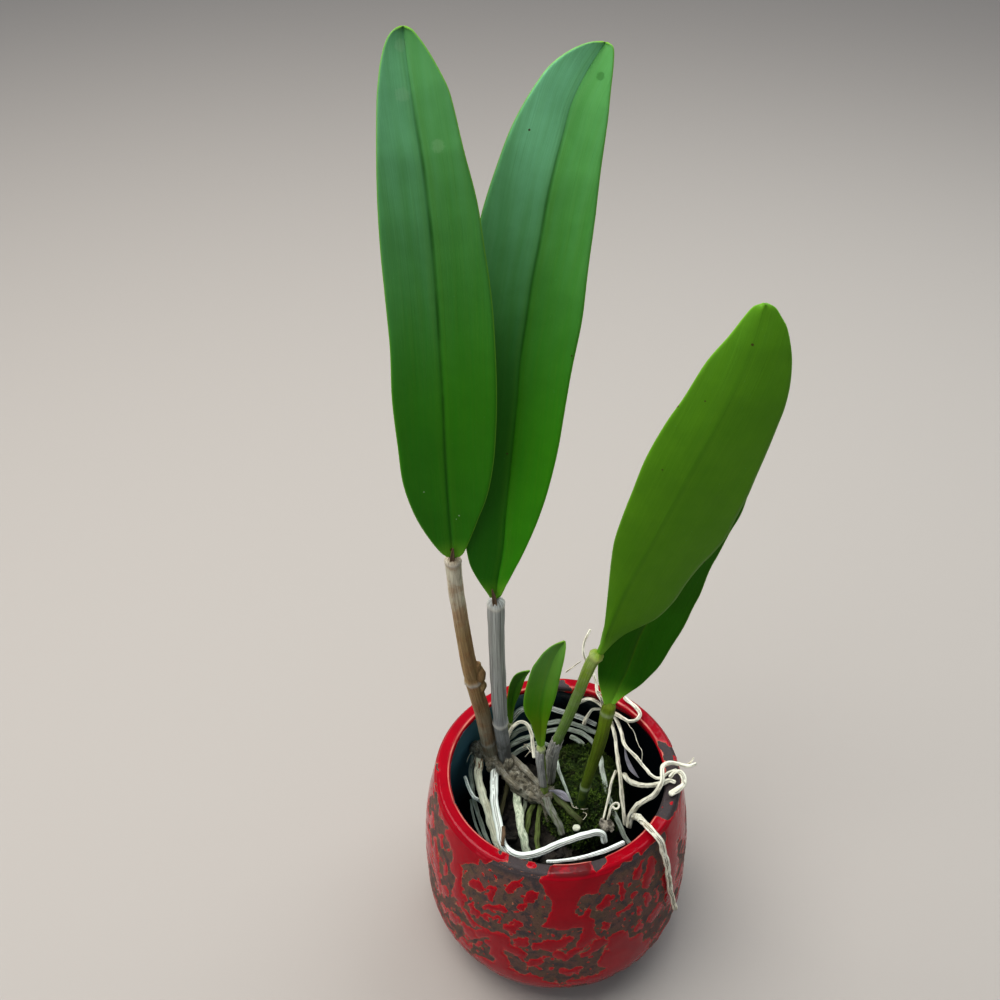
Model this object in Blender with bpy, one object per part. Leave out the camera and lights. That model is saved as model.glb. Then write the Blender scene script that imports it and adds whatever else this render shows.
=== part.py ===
"""A potted cattleya orchid: a glazed cover pot, its potting mix, and the plant that stands in it.

The pot stands on its foot with the origin under its centre, and the plant faces along minus Y.
Each grown piece is one closed solid: the creeping rhizome, the stems, the leaves and the roots.
"""

import math

import bmesh
import bpy
from mathutils import Vector

# Real sizes in millimetres: the pot
MM = 0.001
GAP = 0.3
POT_HEIGHT = 122.5
RIM_RADIUS = 65.0
RIM_WALL = 8.0
RIM_ROUNDING = 2.4
BELLY_RADIUS = 73.5
BELLY_HEIGHT = 58.0
FOOT_RADIUS = 45.0
FLOOR_THICKNESS = 8.0
FLOOR_RADIUS = 38.0
BELOW_BELLY = 4.3
ABOVE_BELLY = 2.1
POT_SIDES = 44

# Real sizes in millimetres: the root ball
MIX_CENTRE = (3.0, 12.0)
MIX_TOP = 72.0
MIX_RADIUS = 38.0
MIX_FOOT_RADIUS = 24.0
MOSS_CENTRE = (15.5, 15.5)
MOSS_RADII = (22.5, 32.0)
MOSS_HEIGHT = 17.0

# Real sizes in millimetres: the plant
LEAF_THICKNESS = 1.9
LEAF_EDGE_THICKNESS = 0.8
SHEATH_THICKNESS = 0.5
ROOT_SPACING = 7.5
STEM_SPACING = 12.0

# The viewpoint that the routes below are read from: its place in millimetres, its downward tilt and its roll.
# A place in the view is given across and down in thousandths of the view's width.
VIEW_FROM = Vector((-27.6, -382.1, 625.0))
VIEW_TILT = math.radians(39.57)
VIEW_ROLL = math.radians(-1.14)
VIEW_LENS = 1150.0
VIEW_MIDDLE = 500.0

# Each root: its route as (across, down, height in mm), its radius at the start and at the end in mm.
# A root that leaves the rhizome starts on the rhizome's own middle line.
RHIZOME_ROOTS = {
    "root_left": ([(480, 754, 90), (479, 764, 88.5), (478, 776, 86.5), (483, 795, 83.5), (489, 815, 80),
                   (494, 835, 75.5), (499, 848, 71), (503, 860, 65)], 2.5, 2.1),
    "root_front_white": ([(495, 758, 88), (495, 768, 88), (494, 785, 88), (494, 800, 88),
                          (496, 812, 88), (499, 826, 88), (502, 842, 88.5), (509, 852, 89),
                          (520, 857, 90), (532, 857, 90.5), (545, 852, 91), (560, 845, 91.5),
                          (576, 838, 91.5), (590, 832, 91), (600, 831, 89.5), (605, 835, 87),
                          (604.5, 841, 84.5)], 2.4, 1.7),
    "root_left_deep": ([(476, 749, 91), (473, 758, 86), (471, 770, 80), (472, 785, 76), (475, 803, 71),
                        (480, 820, 67), (487, 838, 62), (492, 850, 57)], 1.4, 1.2),
    "root_mottled": ([(514, 778, 85), (516, 788, 82), (518, 805, 80), (521, 825, 78.5), (524, 840, 77),
                      (527, 852, 73), (529, 862, 67)], 2.5, 2.2),
    "root_olive_left": ([(509, 772, 85), (507, 788, 80), (504, 800, 78), (501, 812, 76),
                         (498, 824, 74)], 1.4, 1.2),
    "root_pale_short": ([(526, 788, 84), (526, 797, 79), (525, 805, 76), (523, 813, 73.5)], 1.3, 1.1),
    "root_olive_mid": ([(534, 792, 84), (534, 802, 79), (530, 812, 76.5), (527, 825, 74.5),
                        (524, 838, 73)], 1.8, 1.6),
    "root_green": ([(541, 795, 84), (541, 804, 80), (538, 820, 77.5), (537, 838, 75),
                    (538, 852, 72)], 1.6, 1.5),
    "root_grey_green": ([(547.5, 796.5, 86), (549, 804, 88.4), (552.6, 813, 88.5), (557, 823, 86.5),
                         (562, 833, 83)], 2.6, 2.0),
    "root_brown": ([(550.8, 788.4, 88), (557.4, 796.4, 90), (565, 806, 90.6), (573, 814, 90),
                    (580, 821, 87)], 2.3, 1.6),
    "root_arch": ([(502, 761, 88), (503.5, 748, 93.8), (508, 736, 99.8), (513, 727, 104.2),
                   (519, 722, 106), (526, 724, 105), (531, 732, 102.5), (533, 746, 98),
                   (534, 757, 95)], 1.3, 1.0),
}

# Roots that lie free, on the moss, against the pot or on one another.
FREE_ROOTS = {
    "root_left_tip": ([(491, 811, 74.5), (484, 804, 78), (479, 800, 81), (474, 797, 83.5),
                       (469, 788, 86), (465, 777, 88)], 1.3, 0.9),
    "root_left_fine": ([(471, 800, 70.5), (473, 815, 67.5), (478, 830, 64), (484, 842, 60)], 0.8, 0.7),
    "root_back_white": ([(509, 726, 95), (513, 718, 100), (521, 710, 105), (532, 707, 106.5),
                         (546, 707, 105.5), (560, 711, 102), (573, 715, 99), (584, 719, 97),
                         (595, 724, 94)], 1.9, 1.6),
    "root_back_second": ([(509, 738, 88.5), (520, 730, 92.5), (533, 726, 94.5), (549, 723, 95.5),
                          (565, 722, 94.5), (583, 727, 91.5), (598, 733, 88.5)], 1.7, 1.5),
    "root_back_third": ([(508, 747, 84), (520, 740, 87.5), (532, 736, 89.5), (548, 731, 91),
                         (564, 729, 90.5), (578, 731, 89.5), (590, 739, 86), (599, 749, 82)], 1.7, 1.5),
    "root_back_fourth": ([(509, 757, 80.5), (520, 750, 84.5), (531, 745, 86.5), (540, 743, 87),
                          (549, 745, 84.5), (557, 750, 81), (564, 756, 78)], 1.6, 1.4),
    "root_back_right": ([(571, 737, 87), (580, 742, 84), (588, 751, 80), (593, 761, 76)], 1.6, 1.4),
    "root_back_loop": ([(573, 709, 106), (578, 703, 111), (584, 700, 114), (591, 699, 117),
                        (600, 704, 114.5), (608, 710, 113), (616, 714, 113.5), (623, 718, 116),
                        (630, 721, 120), (637, 719.5, 124.6), (640, 715, 125.6), (637, 709, 125.6),
                        (631, 703, 125.2), (625, 698, 125)], 1.2, 1.1),
    "root_small_loop": ([(584, 724, 97), (587, 717, 102), (592, 710, 107), (600, 709, 107.5)], 1.1, 0.9),
    "root_right_thin": ([(612, 713, 109), (616, 720, 109), (621, 731, 109), (625, 745, 110),
                         (635, 756, 113), (645, 768, 117), (653, 776, 121.5), (660, 778, 124.3),
                         (668, 773, 124.2), (676, 770, 124)], 1.15, 0.85),
    "root_right_long": ([(611, 722, 104), (613, 729, 102), (616, 742, 100), (618, 760, 97),
                         (620, 775, 94.5), (622, 795, 90), (624, 815, 84), (625, 824, 80)], 1.15, 1.25),
    "root_right_branch": ([(615.5, 771, 95.8), (612, 780, 94.5), (609, 794, 92.5), (606, 808, 90),
                           (603.5, 818, 88)], 0.8, 0.6),
    "root_curl": ([(608, 819.5, 88.4), (609.5, 813, 91.5), (611, 807.5, 94), (614.5, 803.4, 95.6),
                   (618.6, 803.6, 96), (619, 807.4, 95.4), (615.6, 809, 94.6)], 0.75, 0.6),
    "root_right_bridge": ([(624, 774.5, 96.5), (629, 781, 101), (640, 785, 109), (652, 785, 117.5),
                           (662, 783, 123.8), (669, 780, 124.4), (674, 782, 124.4)], 1.6, 1.3),
    "root_over_rim": ([(629, 826, 90), (631, 815, 98), (636, 807, 106), (645, 801, 113.5),
                       (655, 794, 120.5), (661, 784, 126.5), (662, 773, 128), (663, 766, 128),
                       (669, 763, 127.6), (678, 764, 126.8), (688, 766, 126.2),
                       (695, 764, 126)], 1.8, 1.0),
    "root_rim_hairpin": ([(670, 777, 126.9), (675, 772.5, 127.2), (680.5, 772, 127), (684, 777.5, 126.4),
                          (684.6, 783.5, 125.4), (679, 789, 124.8), (671.5, 793.4, 124.6)], 1.1, 1.7),
    "root_draping": ([(635, 816.5, 102.5), (637.5, 817, 111), (642, 821, 120.5), (648, 827, 125.2),
                      (655, 835, 125.2), (661, 843, 121.3), (665, 855.5, 111.2), (668, 870, 98.6),
                      (670, 885, 84.6), (672, 897, 72), (675, 908, 61)], 2.0, 1.3),
    "root_moss_edge": ([(600.5, 757, 90), (603, 775, 89.4), (607.5, 795, 87.4), (614, 812, 84),
                        (622, 830, 79), (629, 843, 74)], 1.6, 1.5),
    "root_inside_rim": ([(540, 861.5, 119), (550, 861.5, 119.7), (560, 861, 120), (580, 858, 120.2),
                         (600, 852.5, 120.3), (612, 848, 120.2), (623, 843, 119.5)], 1.4, 1.2),
    "root_over_moss": ([(555.5, 757, 95), (559.5, 773, 92.6), (566, 789, 91),
                        (573, 806, 89.4)], 1.3, 0.5),
    "root_aerial": ([(603.5, 707, 115.3), (601, 699, 123), (597, 691, 125.4), (596, 681, 129.5),
                     (590, 667, 136), (584, 655, 142), (584, 643, 147), (590, 630, 152)], 1.1, 0.7),
    "root_stub": ([(503.5, 827, 92.3), (503.5, 836, 92.3), (502.5, 845, 92.3)], 1.1, 0.9),
}

# The rhizome as (across, down, height in mm, radius in mm).
RHIZOME = [(474, 747, 92.5, 4.2), (482, 751, 90.5, 5.2), (490, 755, 89, 5.6), (498, 760, 88, 5.6),
           (508, 769, 86.5, 6.0), (520, 784, 85, 6.0), (533, 792, 84.5, 5.8), (546, 796, 84.5, 5.4),
           (556, 790, 84, 4.4)]

# Each stem as (across, down, set-back in mm, radius in mm), from its foot to the leaf.
STEMS = {
    "stem_1": [(492, 757, 34, 4.0), (489, 745, 33, 4.2), (483, 715, 32, 4.2), (476, 690, 31, 4.3),
               (472, 676, 31, 4.3), (468, 660, 30.5, 3.9), (461, 620, 30, 3.8), (456, 590, 30, 3.9),
               (453, 561, 30, 3.9)],
    "stem_2": [(506, 762, 30, 3.7), (503, 740, 30.5, 3.9), (501, 727, 31, 4.1), (499, 700, 31.5, 4.2),
               (497, 650, 32.5, 4.3), (496, 603, 33, 4.3)],
    "stem_3": [(549, 784, 18.5, 2.4), (550, 772, 18, 2.45), (553, 752, 16.2, 2.5), (558.4, 738, 14.8, 2.7),
               (566.8, 720, 13, 2.85), (579.6, 690, 9.5, 2.95), (590, 665, 6.5, 3.1), (596, 655.6, 6, 3.3)],
    "stem_4": [(580.5, 812, -1, 2.9), (584.3, 790, -0.5, 2.75), (588.7, 775, 0.2, 2.8), (593.5, 761, 0.8, 2.9),
               (598.5, 746, 1.3, 3.1), (603, 730, 1.9, 3.3), (606.4, 717, 2.4, 3.4), (608.9, 707.4, 3, 3.5)],
    "stem_5": [(545, 794, 9, 2.3), (543, 775, 9, 2.4), (541, 760, 8.5, 2.4), (541, 748, 8, 2.4)],
    "stem_6": [(498, 757, 36, 1.8), (505, 741, 45, 1.8), (510, 724, 48.5, 1.8)],
}

# Each leaf: its left edge, midrib and right edge as (across, down), base to tip. Back is how far behind the
# origin the midrib lies, in mm.
# The fold is how far the edges stand in front of the midrib, in mm, and is negative where they lie behind it.
LEAVES = {
    "leaf_1": dict(
        left=[(447, 557), (441, 553), (430, 540), (417, 520), (408, 500), (402, 480), (398, 450),
              (392, 400), (390, 350), (385, 300), (380, 250), (377, 200), (376, 150), (376.5, 100),
              (378, 80), (380.5, 60), (386, 40), (393, 30), (403, 26)],
        mid=[(453, 558), (448, 500), (445, 450), (443, 400), (440, 350), (437, 300), (434, 260),
             (430, 220), (424, 170), (416, 120), (410, 80), (405, 45), (403, 26)],
        right=[(459, 557), (463, 554), (470, 540), (478, 520), (486, 500), (491, 480), (495, 450),
               (497, 400), (495.5, 350), (492, 300), (485, 250), (477, 200), (464, 150), (452, 100),
               (447, 85), (434, 60), (424, 44), (418, 36), (412, 29.5), (403, 26)],
        back=[30, 27, 24, 22.5, 22, 23, 26, 32, 40], fold=[1.5, 4, 4, 3.5, 3, 2.5, 1.5]),
    "leaf_2": dict(
        left=[(490, 597), (478, 580), (470, 565), (466, 548), (460, 520), (457, 480), (457, 430),
              (460, 370), (465, 310), (472, 260), (481, 215), (490, 185), (497, 165), (508, 135),
              (520, 110), (535, 85), (550, 65), (570, 50), (590, 42), (605, 42)],
        mid=[(496, 600), (498, 580), (503, 550), (505, 520), (509, 480), (513, 440), (517, 400),
             (520, 360), (526, 320), (532, 280), (540, 240), (547, 200), (555, 165), (563, 135),
             (571, 105), (585, 75), (605, 42)],
        right=[(501, 595), (512, 575), (525, 550), (538, 520), (548, 490), (558, 450), (565, 410),
               (572, 370), (582, 320), (588, 270), (595, 220), (601, 170), (608, 120), (611, 90),
               (614, 60), (613, 46), (605, 42)],
        back=[33, 36, 40, 43, 45, 47, 50, 55, 62], fold=[2, 5, 6, 6, 5, 4, 1.5]),
    "leaf_3": dict(
        left=[(597, 651), (602.8, 637), (607, 600), (611, 561), (614, 541), (621, 518.5), (631, 493),
              (645, 459.5), (664.5, 425.7), (684, 397.5), (706.8, 360.8), (729, 335.5), (746, 314),
              (754, 306), (765, 303)],
        mid=[(600, 653), (612, 620), (628, 585), (650, 545), (672, 505), (694, 465), (716, 425),
             (738, 380), (754, 340), (765, 303)],
        right=[(603.5, 653), (613.6, 642.7), (625, 634), (642, 625.8), (656, 618.8), (673, 603),
               (687, 583.5), (701, 566.6), (712.6, 555), (726.6, 538), (735, 521), (747.9, 496),
               (757.7, 473.5), (767.6, 451), (777, 428), (784.5, 408.7), (790, 386), (792, 363.6),
               (791, 346.7), (787, 327), (781.7, 317), (775, 307), (765, 303)],
        back=[6, 2, -3, -7, -10, -11, -10, -7, -2], fold=[-1, -3, -4, -4, -3.5, -3, -1.5]),
    "leaf_4": dict(
        left=[(604.2, 704), (600.8, 692), (598, 665), (600, 645), (607, 618), (617, 590), (630, 562),
              (645, 535), (662, 508), (682, 482), (705, 458), (728, 443), (746, 440)],
        mid=[(609.5, 705.5), (614.5, 696), (620, 684), (628, 667), (640, 635), (655, 608), (672, 575),
             (690, 540), (708, 505), (726, 472), (746, 440)],
        right=[(614.6, 704.5), (630, 692.5), (640, 685.5), (648, 678), (660, 665), (672, 645), (683, 628),
               (692, 610), (700, 595), (710, 570), (720, 552), (730, 533), (741, 515), (748, 495),
               (752, 475), (753, 455), (746, 440)],
        back=[3, 13, 21, 28, 33, 38, 42, 47, 52], fold=[0.6, 1.5, 3.5, 4, 4, 3, 1.5]),
    "leaf_5": dict(
        left=[(537.5, 745), (535, 737), (533, 729.5), (529.8, 721), (525.7, 714.6), (523.6, 707),
              (523.6, 699), (525.7, 688), (529, 676.4), (533, 665.7), (538, 659), (544, 651.6),
              (553, 645), (564.6, 641)],
        mid=[(541, 746), (541, 730), (541, 710), (544, 690), (550, 668), (557, 652), (564.6, 641)],
        right=[(544.7, 745), (546, 733.6), (547.6, 723), (549.7, 716), (552, 708), (555.5, 698),
               (558, 688), (560.5, 676), (563, 665), (565, 655), (565.9, 646), (564.6, 641)],
        back=[8, 7, 6, 5.5, 6, 8, 11], fold=[1, 2, 2.5, 2.5, 2, 1]),
    "leaf_6": dict(
        left=[(508.5, 722), (507.3, 714.6), (507, 704.6), (507.8, 693), (510, 683), (514.9, 674.8),
              (521.5, 671.5), (529.8, 670.6)],
        mid=[(510.5, 722.5), (511, 710), (513, 695), (518, 682), (529.8, 670.6)],
        right=[(512.5, 722), (514.9, 706), (519, 696), (522, 688), (525, 679), (529.8, 670.6)],
        back=[48.5, 49, 49.5, 50, 52], fold=[0.5, 1, 1.2, 1, 0.4]),
}

# Papery sheaths round two stem feet: the stem, where the sheath starts and ends along it, and how much it wraps.
SHEATHS = {
    "sheath_3": dict(stem="stem_3", start=0.12, end=0.40, wrap=250, turn=200),
    "sheath_5": dict(stem="stem_5", start=0.10, end=0.88, wrap=235, turn=150),
}

# Dry scraps as a middle line of (across, down, height in mm) and a width in mm.
SCRAPS = {
    "bract_front": ([(549, 791, 97), (556, 792, 96.2), (563, 795, 95.2), (568, 798, 94.2),
                     (571, 801, 93.4)], 3.2),
    "bract_right": ([(624.5, 746, 108.4), (627, 759, 105), (633, 771, 102.5), (639, 778, 101)], 3.0),
    "spathe_1": ([(452, 562, 248.1), (452.5, 555, 253), (453, 548, 257.9)], 2.4),
    "spathe_2": ([(495, 606, 215.6), (494, 597, 221.5), (492, 589, 226.8)], 2.6),
}

# What the moss grows round, and what pushes into the mix.
IN_THE_MOSS = ("stem_3", "stem_4", "stem_5", "root_moss_edge", "root_brown", "root_grey_green",
               "root_back_right", "root_green", "root_over_moss", "root_back_third", "root_back_fourth")
IN_THE_MIX = ("root_green", "root_grey_green", "root_mottled", "root_olive_mid", "root_left", "root_brown",
              "root_moss_edge", "root_pale_short")


def finish(name, colour, roughness):
    """A plain material of one colour."""
    material = bpy.data.materials.new(name)
    material.use_nodes = True
    shader = material.node_tree.nodes["Principled BSDF"]
    shader.inputs["Base Color"].default_value = (*colour, 1.0)
    shader.inputs["Roughness"].default_value = roughness
    shader.inputs["Metallic"].default_value = 0.0
    return material


def view_axes():
    """Unit vectors of the viewpoint: to its right, up its picture and straight ahead."""
    ahead = Vector((0.0, math.cos(VIEW_TILT), -math.sin(VIEW_TILT)))
    level = Vector((1.0, 0.0, 0.0))
    rise = level.cross(ahead)
    right = math.cos(VIEW_ROLL) * level + math.sin(VIEW_ROLL) * rise
    up = math.cos(VIEW_ROLL) * rise - math.sin(VIEW_ROLL) * level
    return right, up, ahead


def sight_line(across, down):
    """The direction from the viewpoint through a place in the view."""
    right, up, ahead = view_axes()
    return ahead + right * (across - VIEW_MIDDLE) / VIEW_LENS - up * (down - VIEW_MIDDLE) / VIEW_LENS


def seen_at_height(across, down, height):
    """The point at this height that shows at this place in the view, in mm."""
    line = sight_line(across, down)
    return VIEW_FROM + line * (height - VIEW_FROM.z) / line.z


def seen_at_back(across, down, back):
    """The point this far back that shows at this place in the view, in mm."""
    line = sight_line(across, down)
    return VIEW_FROM + line * (back - VIEW_FROM.y) / line.y


def curve_through(points, amounts):
    """Values at these amounts, from 0 to 1 of the way along a smooth curve through the points."""
    reach = [0.0]
    for a, b in zip(points, points[1:]):
        reach.append(reach[-1] + (b - a).length)
    slopes = []
    for i in range(len(points)):
        low, high = max(i - 1, 0), min(i + 1, len(points) - 1)
        slopes.append((points[high] - points[low]) / (reach[high] - reach[low]))
    found = []
    for amount in amounts:
        place = min(max(amount, 0.0), 1.0) * reach[-1]
        i = 0
        while i < len(points) - 2 and reach[i + 1] < place:
            i += 1
        span = reach[i + 1] - reach[i]
        t = (place - reach[i]) / span
        found.append(points[i] * (2 * t**3 - 3 * t**2 + 1) + slopes[i] * span * (t**3 - 2 * t**2 + t)
                     + points[i + 1] * (3 * t**2 - 2 * t**3) + slopes[i + 1] * span * (t**3 - t**2))
    return found


def evenly(values, amounts):
    """Numbers read at these amounts along a list of evenly spaced ones."""
    found = []
    for amount in amounts:
        place = amount * (len(values) - 1)
        i = min(int(place), len(values) - 2)
        found.append(values[i] + (values[i + 1] - values[i]) * (place - i))
    return found


def steps(count):
    """Amounts from 0 to 1 in this many equal steps."""
    return [i / count for i in range(count + 1)]


def length_of(points):
    return sum((b - a).length for a, b in zip(points, points[1:]))


def solid(name, points, faces, material):
    """One closed object made from points in mm, with its faces pointing out."""
    mesh = bpy.data.meshes.new(name)
    mesh.from_pydata([point * MM for point in points], [], faces)
    shaped = bmesh.new()
    shaped.from_mesh(mesh)
    bmesh.ops.recalc_face_normals(shaped, faces=shaped.faces)
    if shaped.calc_volume(signed=True) < 0:
        bmesh.ops.reverse_faces(shaped, faces=shaped.faces)
    shaped.to_mesh(mesh)
    shaped.free()
    mesh.shade_smooth()
    if material:
        mesh.materials.append(material)
    made = bpy.data.objects.new(name, mesh)
    bpy.context.scene.collection.objects.link(made)
    return made


def tube_shape(points, radii, sides):
    """Points and faces of a round bar along a route, closed by a low cone at each end."""
    tangent = (points[1] - points[0]).normalized()
    side = tangent.orthogonal().normalized()
    rings = []
    for i, point in enumerate(points):
        low, high = max(i - 1, 0), min(i + 1, len(points) - 1)
        tangent = (points[high] - points[low]).normalized()
        side = (side - tangent * side.dot(tangent)).normalized()
        other = tangent.cross(side)
        for k in range(sides):
            turn = 2 * math.pi * k / sides
            rings.append(point + (side * math.cos(turn) + other * math.sin(turn)) * radii[i])
    count = len(points)
    start = points[0] - (points[1] - points[0]).normalized() * radii[0] * 0.4
    end = points[-1] + (points[-1] - points[-2]).normalized() * radii[-1] * 0.4
    shape = rings + [start, end]
    faces = []
    for i in range(count - 1):
        for k in range(sides):
            n = (k + 1) % sides
            faces.append((i * sides + k, i * sides + n, (i + 1) * sides + n, (i + 1) * sides + k))
    for k in range(sides):
        n = (k + 1) % sides
        faces.append((n, k, count * sides))
        faces.append(((count - 1) * sides + k, (count - 1) * sides + n, count * sides + 1))
    return shape, faces


def turned_shape(profile, sides, centre=(0.0, 0.0), stretch=(1.0, 1.0)):
    """Points and faces of a profile of (radius, height) turned about a vertical line that both its ends meet."""
    shape = [Vector((centre[0], centre[1], profile[0][1]))]
    for radius, height in profile[1:-1]:
        for k in range(sides):
            turn = 2 * math.pi * k / sides
            shape.append(Vector((centre[0] + radius * stretch[0] * math.cos(turn),
                                 centre[1] + radius * stretch[1] * math.sin(turn), height)))
    shape.append(Vector((centre[0], centre[1], profile[-1][1])))
    faces = []
    last = len(profile) - 3
    for k in range(sides):
        n = (k + 1) % sides
        faces.append((0, 1 + k, 1 + n))
        for i in range(last):
            low, high = 1 + i * sides, 1 + (i + 1) * sides
            faces.append((low + k, high + k, high + n, low + n))
        faces.append((1 + last * sides + n, 1 + last * sides + k, len(shape) - 1))
    return shape, faces


def sheet_shape(grid, halves):
    """Points and faces of a sheet: rows of points down its middle, and half its thickness at each of them."""
    rows, columns = len(grid), len(grid[0])
    front, behind = [], []
    for i in range(rows):
        for j in range(columns):
            along = grid[min(i + 1, rows - 1)][j] - grid[max(i - 1, 0)][j]
            across = grid[i][min(j + 1, columns - 1)] - grid[i][max(j - 1, 0)]
            normal = across.cross(along).normalized()
            front.append(grid[i][j] + normal * halves[i][j])
            behind.append(grid[i][j] - normal * halves[i][j])
    shape = front + behind
    skip = rows * columns
    faces = []
    for i in range(rows - 1):
        for j in range(columns - 1):
            a, b, c, d = i * columns + j, i * columns + j + 1, (i + 1) * columns + j + 1, (i + 1) * columns + j
            faces.append((a, b, c, d))
            faces.append((skip + d, skip + c, skip + b, skip + a))
    rim = [j for j in range(columns)]
    rim += [i * columns + columns - 1 for i in range(1, rows)]
    rim += [(rows - 1) * columns + j for j in range(columns - 2, -1, -1)]
    rim += [i * columns for i in range(rows - 2, 0, -1)]
    for a, b in zip(rim, rim[1:] + rim[:1]):
        faces.append((b, a, skip + a, skip + b))
    return shape, faces


def keep_clear(piece, cutters):
    """Cuts from a piece the room that its neighbours need."""
    for cutter in cutters:
        cut = piece.modifiers.new("clear of " + cutter.name, "BOOLEAN")
        cut.operation = "DIFFERENCE"
        cut.solver = "EXACT"
        cut.object = cutter


def room_for(name, points, radii, sides):
    """A hidden cutter a gap wider all round than a bar."""
    outward_start = (points[0] - points[1]).normalized() * GAP
    outward_end = (points[-1] - points[-2]).normalized() * GAP
    longer = [points[0] + outward_start] + points[1:-1] + [points[-1] + outward_end]
    cutter = solid("room for " + name, *tube_shape(longer, [radius + GAP for radius in radii], sides), None)
    cutter.hide_render = True
    cutter.display_type = "WIRE"
    return cutter


def pot_radius(height):
    """The radius of the pot's outer wall at a height."""
    if height < BELLY_HEIGHT:
        fall = (BELLY_HEIGHT - height) / BELLY_HEIGHT
        return BELLY_RADIUS - (BELLY_RADIUS - FOOT_RADIUS) * fall**BELOW_BELLY
    rise = (height - BELLY_HEIGHT) / (POT_HEIGHT - BELLY_HEIGHT)
    return BELLY_RADIUS - (BELLY_RADIUS - RIM_RADIUS) * rise**ABOVE_BELLY


def pot_inner_radius(height):
    """The radius of the pot's inner wall at a height."""
    belly = BELLY_RADIUS - RIM_WALL
    if height < BELLY_HEIGHT:
        fall = (BELLY_HEIGHT - height) / (BELLY_HEIGHT - FLOOR_THICKNESS)
        return belly - (belly - FLOOR_RADIUS) * fall**BELOW_BELLY
    rise = (height - BELLY_HEIGHT) / (POT_HEIGHT - BELLY_HEIGHT)
    return belly - (belly - RIM_RADIUS + RIM_WALL) * rise**ABOVE_BELLY


def make_pot():
    """The cover pot: a round bowl with a flat foot, a full belly and a thick rounded rim."""
    outside = [(pot_radius(height), height) for height in (0, 3, 7, 13, 22, 35, 50, 66, 82, 96, 109)]
    heights = (112, 98, 82, 66, 50, 35, 23, 15, 10, FLOOR_THICKNESS)
    inside = [(pot_inner_radius(height), height) for height in heights]
    shoulder = POT_HEIGHT - RIM_ROUNDING
    lip = []
    for k in range(5):
        turn = math.radians(22.5 * k)
        lip.append((RIM_RADIUS - RIM_ROUNDING * (1 - math.cos(turn)), shoulder + RIM_ROUNDING * math.sin(turn)))
    for k in range(5):
        turn = math.radians(90 - 22.5 * k)
        lip.append((RIM_RADIUS - RIM_WALL + RIM_ROUNDING * (1 - math.cos(turn)),
                    shoulder + RIM_ROUNDING * math.sin(turn)))
    profile = [(0, 0)] + outside + lip + inside + [(0, FLOOR_THICKNESS)]
    shape, faces = turned_shape(profile, POT_SIDES)
    return solid("cover_pot", shape, faces, finish("red and brown glaze", (0.42, 0.02, 0.03), 0.25))


def make_mix():
    """The bark and fibre that the roots have bound into a lump in the middle of the pot."""
    base = FLOOR_THICKNESS + GAP
    profile = [(0, base), (MIX_FOOT_RADIUS, base), (MIX_RADIUS * 0.82, 20), (MIX_RADIUS * 0.97, 40),
               (MIX_RADIUS, 58), (MIX_RADIUS * 0.95, 67), (MIX_RADIUS * 0.84, MIX_TOP), (0, MIX_TOP)]
    shape, faces = turned_shape(profile, 24, MIX_CENTRE)
    return solid("potting_mix", shape, faces, finish("dark bark", (0.035, 0.022, 0.014), 0.9))


def make_moss():
    """The cushion of moss on top of the mix."""
    base = MIX_TOP + GAP
    domed = [(0, 0), (1.0, 0), (1.03, 0.22), (0.98, 0.5), (0.82, 0.78), (0.52, 0.94), (0.25, 1.0), (0, 1.0)]
    profile = [(radius, base + MOSS_HEIGHT * rise) for radius, rise in domed]
    shape, faces = turned_shape(profile, 24, MOSS_CENTRE, MOSS_RADII)
    return solid("moss_mound", shape, faces, finish("moss", (0.06, 0.16, 0.02), 0.95))


def route_of(route, spacing):
    """A root's or stem's middle line at even spacing."""
    count = max(3, round(length_of(route) / spacing))
    return curve_through(route, steps(count))


def make_rhizome():
    """The creeping rhizome, which the stems and roots grow from."""
    amounts = steps(16)
    points = curve_through([seen_at_height(*stop[:3]) for stop in RHIZOME], amounts)
    radii = evenly([stop[3] for stop in RHIZOME], amounts)
    made = solid("rhizome", *tube_shape(points, radii, 10), finish("rhizome bark", (0.16, 0.12, 0.08), 0.8))
    return made, room_for("rhizome", points, radii, 10)


def make_stem(name, stops, colour):
    """One stem, and the room that its neighbours leave for it."""
    route = [seen_at_back(*stop[:3]) for stop in stops]
    count = max(4, round(length_of(route) / STEM_SPACING))
    points = curve_through(route, steps(count))
    radii = evenly([stop[3] for stop in stops], steps(count))
    made = solid(name, *tube_shape(points, radii, 10), finish(name + " skin", colour, 0.55))
    return made, room_for(name, points, radii, 10), points, radii


def make_root(name, places, first, last, colour):
    """One root, and the room that the moss and the mix leave for it."""
    points = route_of([seen_at_height(*place) for place in places], ROOT_SPACING)
    radii = evenly([first, last], steps(len(points) - 1))
    sides = 8 if first > 1.7 else 6
    made = solid(name, *tube_shape(points, radii, sides), finish(name + " skin", colour, 0.7))
    return made, room_for(name, points, radii, sides)


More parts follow.
